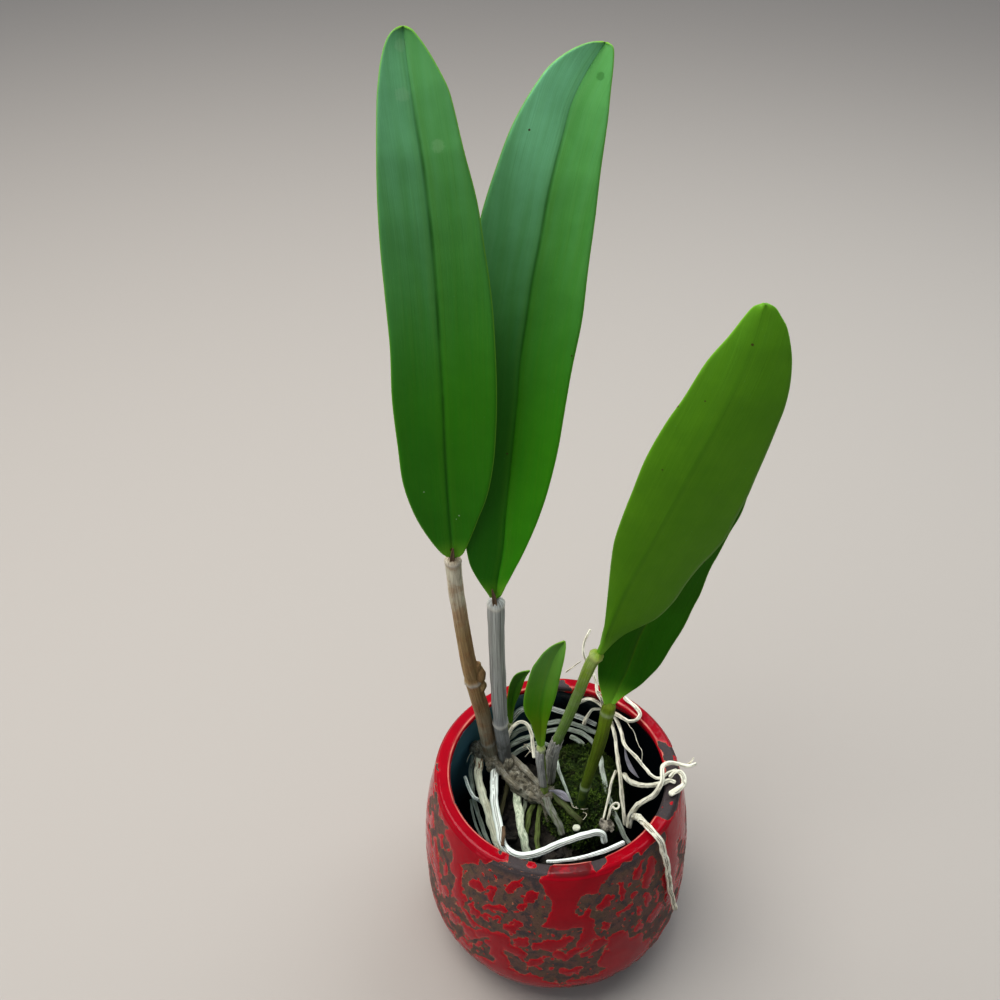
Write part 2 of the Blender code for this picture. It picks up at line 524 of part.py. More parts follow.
def make_leaf(name, left, mid, right, back, fold, rows, columns):
    """One leaf: a sheet between its two edges, folded at the midrib and thickest there."""
    amounts = [0.5 - 0.5 * math.cos(math.pi * amount) for amount in steps(rows)]
    lines = []
    for edge in (left, mid, right):
        lines.append(curve_through([Vector((across, down, 0.0)) for across, down in edge], amounts))
    backs = evenly(back, amounts)
    folds = evenly(fold, amounts)
    grid, halves = [], []
    for i, amount in enumerate(amounts):
        places = [seen_at_back(lines[0][i].x, lines[0][i].y, backs[i] - folds[i]),
                  seen_at_back(lines[1][i].x, lines[1][i].y, backs[i]),
                  seen_at_back(lines[2][i].x, lines[2][i].y, backs[i] - folds[i])]
        if i == rows:
            places = [places[1] + (place - places[1]) * 0.5 for place in places]
            shrink = (grid[-1][-1] - grid[-1][0]) * 0.12
            places = [places[1] - shrink, places[1], places[1] + shrink]
        row, thin = [], []
        for j in range(columns + 1):
            aside = 2 * j / columns - 1
            outer = places[0] if aside < 0 else places[2]
            row.append(places[1] + (outer - places[1]) * abs(aside))
            thin.append((LEAF_EDGE_THICKNESS + (LEAF_THICKNESS - LEAF_EDGE_THICKNESS) * (1 - aside**2)
                         * math.sin(math.pi * (0.5 + 0.45 * amount))) / 2)
        grid.append(row)
        halves.append(thin)
    return solid(name, *sheet_shape(grid, halves), finish(name + " skin", (0.03, 0.12, 0.02), 0.4))


def make_sheath(name, points, radii, start, end, wrap, turn):
    """A torn papery wrap round part of a stem."""
    grid = []
    for amount in steps(5):
        place = start + (end - start) * amount
        here, ahead = curve_through(points, [place, min(place + 0.02, 1.0)])
        tangent = (ahead - here).normalized()
        side = (Vector((0, -1, 0)) - tangent * Vector((0, -1, 0)).dot(tangent)).normalized()
        other = tangent.cross(side)
        reach = evenly(radii, [place])[0] * 1.06 + GAP + SHEATH_THICKNESS / 2
        row = []
        for k in range(9):
            angle = math.radians(turn + wrap * (k / 8 - 0.5))
            row.append(here + (side * math.cos(angle) + other * math.sin(angle)) * reach)
        grid.append(row)
    halves = [[SHEATH_THICKNESS / 2] * 9 for _ in grid]
    return solid(name, *sheet_shape(grid, halves), finish("dry sheath", (0.32, 0.28, 0.23), 0.85))


def make_scrap(name, places, width):
    """A dry bract or scrap: a narrow trough that tapers to a point."""
    points = curve_through([seen_at_height(*place) for place in places], steps(6))
    right = view_axes()[0]
    grid = []
    for i, point in enumerate(points):
        tangent = (points[min(i + 1, 6)] - points[max(i - 1, 0)]).normalized()
        across = (right - tangent * right.dot(tangent))
        if across.length < 0.3:
            across = tangent.cross(Vector((0, 0, 1)))
        across = across.normalized() * width / 2 * (1 - 0.75 * (i / 6) ** 2)
        lift = across.cross(tangent).normalized() * width * 0.12
        half = across * 0.5
        grid.append([point - across + lift, point - half, point, point + half, point + across + lift])
    halves = [[SHEATH_THICKNESS / 2] * 5 for _ in grid]
    return solid(name, *sheet_shape(grid, halves), finish("dry scrap", (0.35, 0.31, 0.33), 0.85))


def make_lump(name, centre, radii):
    """A small rounded lump."""
    profile = []
    for amount in steps(6):
        turn = math.pi * amount
        profile.append((math.sin(turn), centre.z - radii[2] * math.cos(turn)))
    profile[0], profile[-1] = (0, profile[0][1]), (0, profile[-1][1])
    shape, faces = turned_shape(profile, 10, (centre.x, centre.y), (radii[0], radii[1]))
    return solid(name, shape, faces, finish(name + " skin", (0.3, 0.25, 0.18), 0.8))


def main():
    for old in list(bpy.data.objects):
        bpy.data.objects.remove(old, do_unlink=True)
    make_pot()
    mix = make_mix()
    moss = make_moss()
    rhizome, rhizome_room = make_rhizome()
    stem_rooms, stem_lines = {}, {}
    for name, stops in STEMS.items():
        stem, stem_rooms[name], points, radii = make_stem(name, stops, (0.2, 0.22, 0.1))
        stem_lines[name] = (points, radii)
        keep_clear(stem, [rhizome_room])
    for name, shape in LEAVES.items():
        small = name in ("leaf_5", "leaf_6")
        make_leaf(name, rows=9 if small else 15, columns=4 if small else 6, **shape)
    root_rooms = {}
    for name, (places, first, last) in RHIZOME_ROOTS.items():
        root, root_rooms[name] = make_root(name, places, first, last, (0.5, 0.5, 0.42))
        keep_clear(root, [rhizome_room])
    for name, (places, first, last) in FREE_ROOTS.items():
        root, root_rooms[name] = make_root(name, places, first, last, (0.55, 0.53, 0.45))
    rooms = {**stem_rooms, **root_rooms}
    keep_clear(moss, [rhizome_room] + [rooms[name] for name in IN_THE_MOSS])
    keep_clear(mix, [rooms[name] for name in IN_THE_MIX])
    for name, wrap in SHEATHS.items():
        points, radii = stem_lines[wrap["stem"]]
        make_sheath(name, points, radii, wrap["start"], wrap["end"], wrap["wrap"], wrap["turn"])
    for name, (places, width) in SCRAPS.items():
        make_scrap(name, places, width)
    make_lump("bark_chip", seen_at_height(607, 826, 85.6), (4.6, 3.4, 2.2))
    make_lump("pebble", seen_at_height(576.5, 828, 85.9), (1.9, 1.8, 1.7))


main()
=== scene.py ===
"""A potted cattleya orchid, finished: red glaze, leathery leaves, ribbed stems, chalky roots and moss.

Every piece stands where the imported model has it. Lengths in the tables below are in millimetres, and a
place in the view is given across and down in thousandths of the view's width.
"""

import math
import random

import bmesh
import bpy
import numpy as np
from mathutils import Matrix, Vector, noise


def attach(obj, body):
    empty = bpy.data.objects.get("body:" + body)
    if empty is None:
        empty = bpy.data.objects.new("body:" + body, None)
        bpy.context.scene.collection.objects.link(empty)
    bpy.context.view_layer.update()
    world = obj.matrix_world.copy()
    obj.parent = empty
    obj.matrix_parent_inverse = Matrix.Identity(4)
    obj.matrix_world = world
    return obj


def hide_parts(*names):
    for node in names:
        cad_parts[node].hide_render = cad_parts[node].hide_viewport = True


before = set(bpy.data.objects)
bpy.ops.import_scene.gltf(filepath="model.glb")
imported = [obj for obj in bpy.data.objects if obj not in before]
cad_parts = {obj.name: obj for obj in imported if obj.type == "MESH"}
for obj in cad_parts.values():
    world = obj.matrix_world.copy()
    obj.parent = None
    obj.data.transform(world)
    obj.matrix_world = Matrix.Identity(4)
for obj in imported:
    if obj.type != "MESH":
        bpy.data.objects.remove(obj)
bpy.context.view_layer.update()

bl_info = {
    "name": "Potted cattleya",
    "version": (1, 0, 0),
    "blender": (4, 5, 0),
    "location": "View3D > Sidebar > Orchid",
    "description": "Builds the finished orchid, its roots, its moss and its glazed pot",
    "category": "Object",
}

BODY = "root"
MM = 0.001

# The viewpoint: its place, its downward tilt and its roll.
VIEW_FROM = np.array((-27.6, -382.1, 625.0))
VIEW_TILT = math.radians(39.57)
VIEW_ROLL = math.radians(-1.14)
VIEW_LENS = 1150.0
VIEW_MIDDLE = 500.0

# The noise in these shapes runs from about -0.6 to 0.6 and is scaled up to fill -1 to 1.
NOISE_GAIN = 1.6

# The pot
POT_HEIGHT = 122.5
RIM_RADIUS = 65.0
RIM_WALL = 8.0
RIM_ROUNDING = 2.4
BELLY_RADIUS = 73.5
BELLY_HEIGHT = 58.0
FOOT_RADIUS = 45.0
FLOOR_THICKNESS = 8.0
FLOOR_RADIUS = 38.0
BELOW_BELLY = 4.3
ABOVE_BELLY = 2.1
RIM_BAND = 6.0

# The root ball
MIX_CENTRE = (3.0, 12.0)
MIX_TOP = 72.0
MIX_RADIUS = 38.0
MIX_FOOT_RADIUS = 24.0
MOSS_CENTRE = (15.5, 15.5)
MOSS_RADII = (22.5, 32.0)
MOSS_HEIGHT = 17.0

# The moss's outline from its top to its foot, as shares of its radius and height.
MOSS_DOME = [
    (0.02, 1.0), (0.25, 1.0), (0.52, 0.94), (0.7, 0.87), (0.82, 0.78), (0.92, 0.64), (0.98, 0.5),
    (1.02, 0.36), (1.03, 0.22), (1.01, 0.08), (0.98, 0.0),
]

# Each root: its route as (across, down, height), its radius at the start and at the end, and its look.
ROOTS = {
    "root_left": ([(480, 754, 90), (479, 764, 88.5), (478, 776, 86.5), (483, 795, 83.5), (489, 815, 80),
        (494, 835, 75.5), (499, 848, 71), (503, 860, 65)], 2.5, 2.1, "tan"),
    "root_front_white": ([(495, 758, 88), (495, 768, 88), (494, 785, 88), (494, 800, 88), (496, 812, 88),
        (499, 826, 88), (502, 841, 88.5), (509, 851, 89), (519, 855.4, 90), (531, 855, 90.5),
        (544, 850.5, 91), (558, 844.5, 91.5), (572, 839.2, 91.5), (586, 835, 91), (596, 832.6, 90),
        (602.4, 834.5, 88.4), (604.3, 841, 85)], 2.4, 2.0, "white"),
    "root_left_deep": ([(476, 749, 91), (473, 758, 86), (471, 770, 80), (472, 785, 76), (475, 803, 71),
        (480, 820, 67), (487, 838, 62), (492, 850, 57)], 1.4, 1.2, "dim"),
    "root_mottled": ([(514, 778, 85), (516, 788, 82), (518, 805, 80), (521, 825, 78.5), (524, 840, 77),
        (527, 852, 73), (529, 862, 67)], 2.5, 2.2, "mottled"),
    "root_olive_left": ([(509, 772, 85), (507, 788, 80), (504, 800, 78), (501, 812, 76), (498, 824, 74)],
        1.4, 1.2, "olive"),
    "root_pale_short": ([(526, 788, 84), (526, 797, 79), (525, 805, 76), (523, 813, 73.5)], 1.3, 1.1,
        "mottled"),
    "root_olive_mid": ([(534, 792, 84), (534, 802, 79), (530, 812, 76.5), (527, 825, 74.5), (524, 838, 73)],
        1.8, 1.6, "green"),
    "root_green": ([(541, 795, 84), (541, 804, 80), (538, 820, 77.5), (537, 838, 75), (538, 852, 72)], 1.6,
        1.5, "green"),
    "root_grey_green": ([(545, 794, 87), (547.5, 803, 89), (552, 813, 88.5), (557, 823, 86.5),
        (562, 833, 83)], 2.6, 2.0, "sheathed"),
    "root_brown": ([(550, 789, 88), (557, 797, 90), (565, 806, 90.6), (573, 814, 90), (580, 821, 87)], 2.3,
        1.6, "mossy"),
    "root_arch": ([(502, 761, 88), (503.5, 748, 93.8), (508, 736, 99.8), (513, 727, 104.2), (519, 722, 106),
        (526, 724, 105), (531, 732, 102.5), (533, 746, 98), (534, 757, 95)], 1.3, 1.0, "cream"),
    "root_left_tip": ([(491, 811, 74.5), (484, 804, 78), (479, 800, 81), (474, 797, 83.5), (469, 788, 86),
        (465, 777, 88)], 1.3, 0.9, "white"),
    "root_left_fine": ([(471, 800, 70.5), (473, 815, 67.5), (478, 830, 64), (484, 842, 60)], 0.8, 0.7,
        "dim"),
    "root_back_white": ([(509, 726, 95), (513, 718, 100), (521, 710, 105), (532, 707, 106.5),
        (546, 707, 105.5), (560, 711, 102), (573, 715, 99), (584, 719, 97), (595, 724, 94)], 1.9, 1.6,
        "white"),
    "root_back_second": ([(509, 738, 88.5), (520, 730, 92.5), (533, 726, 94.5), (549, 723, 95.5),
        (565, 722, 94.5), (583, 727, 91.5), (598, 733, 88.5)], 1.7, 1.5, "dim"),
    "root_back_third": ([(508, 747, 84), (520, 740, 87.5), (532, 736, 89.5), (548, 731, 91),
        (564, 729, 90.5), (578, 731, 89.5), (590, 739, 86), (599, 749, 82)], 1.7, 1.5, "dim"),
    "root_back_fourth": ([(509, 757, 80.5), (520, 750, 84.5), (531, 745, 86.5), (540, 743, 87),
        (549, 745, 84.5), (557, 750, 81), (564, 756, 78)], 1.6, 1.4, "dim"),
    "root_back_right": ([(571, 737, 87), (580, 742, 84), (588, 751, 80), (593, 761, 76)], 1.6, 1.4, "dim"),
    "root_back_loop": ([(573, 709, 106), (578, 703, 111), (584, 700, 114), (591, 699, 117),
        (600, 704, 114.5), (608, 710, 113), (616, 714, 113.5), (623, 718, 116), (630, 721, 120),
        (637, 719.5, 124.6), (640, 715, 125.6), (637, 709, 125.6), (631, 703, 125.2), (625, 698, 125)], 1.2,
        1.1, "cream"),
    "root_small_loop": ([(584, 724, 97), (587, 717, 102), (592, 710, 107), (600, 709, 107.5)], 1.1, 0.9,
        "cream"),
    "root_right_thin": ([(612, 713, 109), (616, 720, 109), (621, 731, 109), (625, 745, 110), (635, 756, 113),
        (645, 768, 117), (653, 776, 121.5), (660, 778, 124.3), (668, 773, 124.2), (676, 770, 124)], 1.15,
        0.85, "cream"),
    "root_right_long": ([(611, 722, 104), (613, 729, 102), (616, 742, 100), (618, 760, 97), (620, 775, 94.5),
        (622, 795, 90), (624, 815, 84), (625, 824, 80)], 1.15, 1.25, "cream"),
    "root_right_branch": ([(615.5, 771, 95.8), (612, 780, 94.5), (609, 794, 92.5), (606, 808, 90),
        (603.5, 818, 88)], 0.8, 0.6, "cream"),
    "root_curl": ([(608, 819.5, 88.4), (609.5, 813, 91.5), (611, 807.5, 94), (614.5, 803.4, 95.6),
        (618.6, 803.6, 96), (619, 807.4, 95.4), (615.6, 809, 94.6), (612.6, 807, 94.4)], 0.75, 0.6, "cream"),
    "root_right_bridge": ([(624, 774.5, 96.5), (629, 781, 101), (640, 785, 109), (652, 785, 117.5),
        (662, 783, 123.8), (669, 780, 124.4), (674, 782, 124.4)], 1.6, 1.3, "cream"),
    "root_over_rim": ([(629, 826, 90), (631, 815, 98), (636, 807, 106), (645, 801, 113.5), (655, 794, 120.5),
        (661, 784, 126.5), (662, 773, 128), (663, 766, 128), (669, 763, 127.6), (678, 764, 126.8),
        (688, 766, 126.2), (695, 764, 126)], 1.8, 1.0, "cream"),
    "root_rim_hairpin": ([(670, 777, 126.9), (675, 772.5, 127.2), (680.5, 772, 127), (684, 777.5, 126.4),
        (684.6, 783.5, 125.4), (679, 789, 124.8), (671.5, 793.4, 124.6)], 1.1, 1.7, "cream"),
    "root_draping": ([(635, 816.5, 102.5), (637.5, 817, 111), (642, 821, 120.5), (648, 827, 125.2),
        (655, 835, 125.2), (661, 843, 121.3), (665, 855.5, 111.2), (668, 870, 98.6), (670, 885, 84.6),
        (672, 897, 72), (675, 908, 61)], 2.0, 1.3, "parched"),
    "root_moss_edge": ([(600.5, 757, 90), (603, 775, 89.4), (607.5, 795, 87.4), (614, 812, 84),
        (622, 830, 79), (629, 843, 74)], 1.6, 1.5, "dim"),
    "root_inside_rim": ([(547, 861.5, 119.4), (553, 861.5, 119.8), (560, 861, 120), (580, 858, 120.2),
        (600, 852.5, 120.3), (612, 848, 120.2), (623, 843, 119.5)], 0.8, 1.4, "white"),
    "root_over_moss": ([(555.5, 757, 95), (559.5, 773, 92.6), (566, 789, 91), (573, 806, 89.4)], 1.3, 0.5,
        "dim"),
    "root_aerial": ([(603.5, 707, 115.3), (601, 699, 123), (597, 691, 125.4), (596, 681, 129.5),
        (590, 667, 136), (584, 655, 142), (584, 643, 147), (590, 630, 152)], 1.1, 0.7, "parched"),
    "root_stub": ([(503.5, 827, 92.3), (503.5, 836, 92.3), (502.5, 845, 92.3)], 1.1, 0.9, "withered"),
}

# The rhizome as (across, down, height, radius).
RHIZOME = [
    (474, 747, 92.5, 4.2), (482, 751, 90.5, 5.2), (490, 755, 89, 5.6), (498, 760, 88, 5.6),
    (508, 769, 86.5, 6.0), (520, 784, 85, 6.0), (533, 792, 84.5, 5.8), (546, 796, 84.5, 5.4),
    (556, 790, 84, 4.4),
]

# Each stem as (across, down, set-back, radius), from its foot to the leaf.
STEMS = {
    "stem_1": [(492, 757, 34, 4.0), (489, 745, 33, 4.2), (483, 715, 32, 4.2), (476, 690, 31, 4.3),
        (472, 676, 31, 4.3), (468, 660, 30.5, 3.9), (461, 620, 30, 3.8), (456, 590, 30, 3.9),
        (453, 561, 30, 3.9)],
    "stem_2": [(506, 762, 30, 3.7), (503, 740, 30.5, 3.9), (501, 727, 31, 4.1), (499, 700, 31.5, 4.2),
        (497, 650, 32.5, 4.3), (496, 603, 33, 4.3)],
    "stem_3": [(549, 784, 18.5, 2.4), (550, 772, 18, 2.45), (553, 752, 16.2, 2.5), (558.4, 738, 14.8, 2.7),
        (566.8, 720, 13, 2.85), (579.6, 690, 9.5, 2.95), (590, 665, 6.5, 3.1), (596, 655.6, 6, 3.3)],
    "stem_4": [(580.5, 812, -1, 2.9), (582.2, 800, -0.8, 2.8), (584.3, 790, -0.5, 2.75),
        (588.7, 775, 0.2, 2.8), (593.5, 761, 0.8, 2.9), (598.5, 746, 1.3, 3.1), (603, 730, 1.9, 3.3),
        (606.4, 717, 2.4, 3.4), (609, 706.5, 3, 3.5)],
    "stem_5": [(545, 794, 9, 2.2), (543, 775, 9, 2.2), (541.2, 760, 8.5, 2.2), (541, 748, 8, 2.4)],
    "stem_6": [(498, 757, 36, 1.8), (505, 741, 45, 1.8), (510, 724, 48.5, 1.8)],
}

# Each leaf: its left edge, midrib and right edge as (across, down), base to tip. Back is how far behind the
# origin the midrib lies, and fold is how far the edges stand in front of it.
LEAVES = {
    "leaf_1": dict(
        left=[(447, 557), (441, 553), (430, 540), (417, 520), (408, 500), (402, 480), (398, 450), (392, 400),
            (390, 350), (385, 300), (380, 250), (377, 200), (376, 150), (376.5, 100), (378, 80), (380.5, 60),
            (386, 40), (393, 30), (403, 26)],
        mid=[(453, 558), (448, 500), (445, 450), (443, 400), (440, 350), (437, 300), (434, 260), (430, 220),
            (424, 170), (416, 120), (410, 80), (405, 45), (403, 26)],
        right=[(459, 557), (463, 554), (470, 540), (478, 520), (486, 500), (491, 480), (495, 450),
            (497, 400), (495.5, 350), (492, 300), (485, 250), (477, 200), (464, 150), (452, 100), (447, 85),
            (434, 60), (424, 44), (418, 36), (412, 29.5), (403, 26)],
        back=[30, 27, 24, 22.5, 22, 23, 26, 32, 40],
        fold=[1.5, 4, 4, 3.5, 3, 2.5, 1.5]),
    "leaf_2": dict(
        left=[(490, 597), (478, 580), (470, 565), (466, 548), (460, 520), (457, 480), (457, 430), (460, 370),
            (465, 310), (472, 260), (481, 215), (490, 185), (497, 165), (508, 135), (520, 110), (535, 85),
            (550, 65), (570, 50), (590, 42), (605, 42)],
        mid=[(496, 600), (498, 580), (503, 550), (505, 520), (509, 480), (513, 440), (517, 400), (520, 360),
            (526, 320), (532, 280), (540, 240), (547, 200), (555, 165), (563, 135), (571, 105), (585, 75),
            (605, 42)],
        right=[(501, 595), (512, 575), (525, 550), (538, 520), (548, 490), (558, 450), (565, 410),
            (572, 370), (582, 320), (588, 270), (595, 220), (601, 170), (608, 120), (611, 90), (614, 60),
            (613, 46), (605, 42)],
        back=[33, 36, 40, 43, 45, 47, 50, 55, 62],
        fold=[2, 5, 6, 6, 5, 4, 1.5]),
    "leaf_3": dict(
        left=[(597, 651), (602.8, 637), (607, 600), (611, 561), (614, 541), (621, 518.5), (631, 493),
            (645, 459.5), (664.5, 425.7), (684, 397.5), (706.8, 360.8), (729, 335.5), (746, 314), (754, 306),
            (765, 303)],
        mid=[(600, 653), (612, 620), (628, 585), (650, 545), (672, 505), (694, 465), (716, 425), (738, 380),
            (754, 340), (765, 303)],
        right=[(603.5, 653), (613.6, 642.7), (625, 634), (642, 625.8), (656, 618.8), (673, 603),
            (687, 583.5), (701, 566.6), (712.6, 555), (726.6, 538), (735, 521), (747.9, 496), (757.7, 473.5),
            (767.6, 451), (777, 428), (784.5, 408.7), (790, 386), (792, 363.6), (791, 346.7), (787, 327),
            (781.7, 317), (775, 307), (765, 303)],
        back=[6, 2, -3, -7, -10, -11, -10, -7, -2],
        fold=[-1, -3, -4, -4, -3.5, -3, -1.5]),
    "leaf_4": dict(
        left=[(604.2, 704), (600.8, 692), (598.3, 680), (598, 665), (600, 645), (607, 618), (617, 590),
            (630, 562), (645, 535), (662, 508), (682, 482), (705, 458), (728, 443), (746, 440)],
        mid=[(609.5, 705.5), (614.5, 696), (620, 684), (628, 667), (640, 635), (655, 608), (672, 575),
            (690, 540), (708, 505), (726, 472), (746, 440)],
        right=[(614.6, 704.5), (621, 698.5), (630, 692.5), (640, 685.5), (648, 678), (660, 665), (672, 645),
            (683, 628), (692, 610), (700, 595), (710, 570), (720, 552), (730, 533), (741, 515), (748, 495),
            (752, 475), (753, 455), (746, 440)],
        back=[3, 13, 21, 28, 33, 38, 42, 47, 52],
        fold=[0.6, 1.5, 3.5, 4, 4, 3, 1.5]),
    "leaf_5": dict(
        left=[(537.5, 745), (535, 737), (533, 729.5), (529.8, 721), (525.7, 714.6), (523.6, 707),
            (523.6, 699), (525.7, 688), (529, 676.4), (533, 665.7), (538, 659), (544, 651.6), (553, 645),
            (564.6, 641)],
        mid=[(541, 746), (541, 730), (541, 710), (544, 690), (550, 668), (557, 652), (564.6, 641)],
        right=[(544.7, 745), (546, 733.6), (547.6, 723), (549.7, 716), (552, 708), (555.5, 698), (558, 688),
            (560.5, 676), (563, 665), (565, 655), (565.9, 646), (564.6, 641)],
        back=[8, 7, 6, 5.5, 6, 8, 11],
        fold=[1, 2, 2.5, 2.5, 2, 1]),
    "leaf_6": dict(
        left=[(508.5, 722), (507.3, 714.6), (507, 704.6), (507.8, 693), (510, 683), (514.9, 674.8),
            (521.5, 671.5), (529.8, 670.6)],
        mid=[(510.5, 722.5), (511, 710), (513, 695), (518, 682), (529.8, 670.6)],
        right=[(512.5, 722), (514.9, 706), (519, 696), (522, 688), (525, 679), (529.8, 670.6)],
        back=[48.5, 49, 49.5, 50, 52],
        fold=[0.5, 1, 1.2, 1, 0.4]),
}

# Where the lower, dark glaze shows on the pot's wall and rim, as outlines of (across, down).
DARK_PATCHES = {
    "front left": [(459.5, 865), (465, 865), (471, 864), (477, 865), (479, 859.5), (482, 862), (484, 864.5),
        (491, 862), (497, 861.5), (505, 866.5), (515, 870.5), (530, 874.5), (540, 877), (538.5, 880),
        (542.5, 887), (544, 893), (550, 901), (551, 907), (549.5, 915.5), (545.5, 922.5), (540.5, 925),
        (542.5, 928), (550.5, 930), (565, 930.5), (577, 927), (583, 929), (580, 938), (576, 947), (582, 949),
        (592, 943), (597, 939), (608, 939), (606, 948), (600, 958), (598, 966), (607, 969), (600, 976),
        (590, 980), (575, 984), (560, 986), (545, 983), (537, 977), (522, 974), (509, 965.5), (508, 959),
        (503.5, 951), (509, 946), (509.5, 938), (497.5, 933), (491, 932), (481, 926), (477, 925),
        (468, 913.5), (463, 907.5), (465, 904), (466, 898), (461.3, 888), (462, 871)],
    "front right": [(616, 870), (623, 862.5), (631.5, 861.5), (634.5, 853.5), (640, 853), (641, 858),
        (647, 848), (652, 844.5), (658, 840), (664, 833), (668, 836), (666, 845), (663, 856), (665, 871),
        (662, 883), (666, 891), (664, 899), (671, 911), (660, 932), (652, 942), (645, 948), (643, 936),
        (633, 941), (628, 935), (617, 932), (609, 938), (600, 938), (595, 931.5), (595.5, 921.5),
        (591, 918.5), (591, 909.5), (584, 911.5), (584.5, 915.5), (577.5, 915), (576, 910.5), (580, 900),
        (580.5, 896), (599, 893), (598, 890), (606, 882)],
    "left": [(426, 778), (431, 784), (436, 793), (438, 806), (440, 818), (445, 826), (445, 838), (450, 846),
        (452, 858), (449, 868), (455, 880), (451, 890), (457, 904), (468, 922), (478, 938), (490, 948),
        (484, 958), (470, 952), (456, 936), (445, 918), (436, 896), (429, 870), (424, 840), (423, 805)],
    "right": [(688, 838), (684, 842), (680, 838), (677, 850), (680, 862), (677, 880), (680, 892), (676, 905),
        (682, 900), (688, 880), (690, 855)],
    "rim front": [(509, 852.5), (520, 857), (532, 859.5), (545, 860), (556, 860.5), (549, 868), (546, 876),
        (530, 874.5), (515, 870.5), (503, 865), (498, 862), (503, 862), (507, 862), (508.5, 857)],
    "rim front second": [(593, 858.5), (604, 855), (605, 862), (601, 869), (596, 873), (592, 866)],
    "rim right": [(657, 740), (661, 741), (665, 742), (665.5, 746.5), (674, 746), (678, 752), (680, 766),
        (666, 765), (664, 758)],
    "rim right second": [(665, 766), (675, 765), (684, 772), (685, 785), (681, 800), (677, 810), (671, 819),
        (660, 817), (653, 816), (658, 805), (662, 795), (664, 780)],
    "rim back": [(558, 680), (561, 679), (571, 687), (572, 692), (556, 691)],
}

# Runs of red glaze that lie on the dark patches: each a chain of (across, down, radius) in the view.
RED_RUNS = [
    [(472.5, 884, 5), (477, 887, 5), (481, 889.5, 3)], [(488, 887, 2), (492, 890, 3.5), (490, 899, 2.5)],
    [(510, 890, 4.5), (514, 886, 5), (519, 881.5, 1.8), (523, 879, 1.2)],
    [(526, 901, 3), (530, 898, 5.5), (533, 896, 5)], [(520.5, 907, 4.2), (523, 911, 2)],
    [(470.5, 906, 3), (474, 911, 4), (477, 916, 2.5)],
    [(484, 907.5, 2), (492, 908, 3), (502, 909.5, 3.8), (505, 912, 3)], [(484.5, 917, 3.5)],
    [(494, 919, 2), (498, 918, 2)], [(506, 928, 4), (513, 930, 4.5), (518, 925, 4.5), (515, 922, 3)],
    [(518, 943, 5.2), (524, 944, 5.2)], [(531.2, 925.2, 1.2)], [(535, 934, 1.2)], [(540, 937, 1.5)],
    [(548, 934, 1.3)], [(554, 936, 1.2)], [(558, 934, 1.0)], [(563, 937, 1.4)],
    [(500, 942, 5), (512, 950, 4), (523, 956, 4)],
    [(535, 947, 4), (545, 946.5, 5.5), (556, 946, 5), (566, 941, 3), (570, 939, 3)],
    [(552, 948, 5), (562, 944, 5), (568, 940, 3.5)],
    [(556, 955, 4), (566, 958, 4), (576, 952, 3), (580, 950, 3)],
    [(583, 955, 3), (590, 951, 4), (598, 945, 5), (604, 942, 4)],
    [(615, 945, 8), (623, 938, 7), (620, 952, 8), (613, 957, 5)],
    [(630, 944, 4), (640, 938, 3.5), (643, 935, 2)], [(617, 960, 8), (608, 962, 5), (601, 964, 2)],
    [(628, 962, 3), (640, 952, 2.5), (650, 940, 2)], [(529, 965, 3), (536, 963, 3.4), (541, 961, 2)],
    [(544, 958.5, 2)], [(560, 971, 1.5), (568, 974, 3), (577, 971, 3.5), (582, 968, 2)],
    [(568, 983, 2), (580, 982, 3), (592, 979, 3), (603, 975, 3), (608, 972, 2)],
    [(530, 977, 3), (540, 981, 3)], [(545, 985, 2.2), (557, 984.5, 2.2)],
    [(600, 908, 3.5), (605, 904, 4.5), (610, 899, 4), (614, 896, 2)],
    [(622, 886, 2), (623, 893, 3.5), (622, 900, 2)], [(642, 861, 1.5), (640, 868, 3), (637, 876, 4.5)],
    [(653, 862, 4.5), (651, 870, 4), (648, 880, 4), (645, 886, 3)], [(648, 897, 3.8), (648, 905, 2.5)],
    [(641, 911, 2.5), (639, 914, 2)], [(657, 890, 1.5), (659, 898, 1.5)], [(604, 928, 2.5), (607, 927.5, 4)],
    [(637, 931, 2.5), (641, 926, 3.5)], [(651, 921, 2), (656, 913, 3), (661, 906, 2.5)],
    [(618, 915, 1.5), (625, 911, 2), (632, 905, 2)], [(634, 897, 2), (637, 892, 1.5)],
    [(434, 838, 2), (435, 850, 3), (436, 865, 3), (437, 880, 3.5), (439, 893, 2.5)],
    [(443.5, 888, 2.8), (445, 894, 3.2)], [(441, 903, 1.6), (445, 911, 2.6)],
    [(450, 914, 2.6), (456, 922, 4)], [(462, 926, 3), (470, 935, 4.6), (478, 944, 3.4)],
    [(462, 940, 3), (470, 947, 3.4)], [(448, 850, 1.6)], [(430, 812, 2), (431, 826, 2.4)],
    [(440, 836, 1.8), (442, 846, 2.2)], [(445, 866, 2), (444, 874, 1.8)], [(452, 896, 1.8)],
    [(684, 850, 1.6), (685, 860, 1.8)], [(682, 876, 1.6)], [(531.5, 864.5, 4.6)],
    [(678, 757, 2.8), (675.5, 758, 2.6)], [(671, 803, 2.2)], [(662, 806, 0.9)],
]

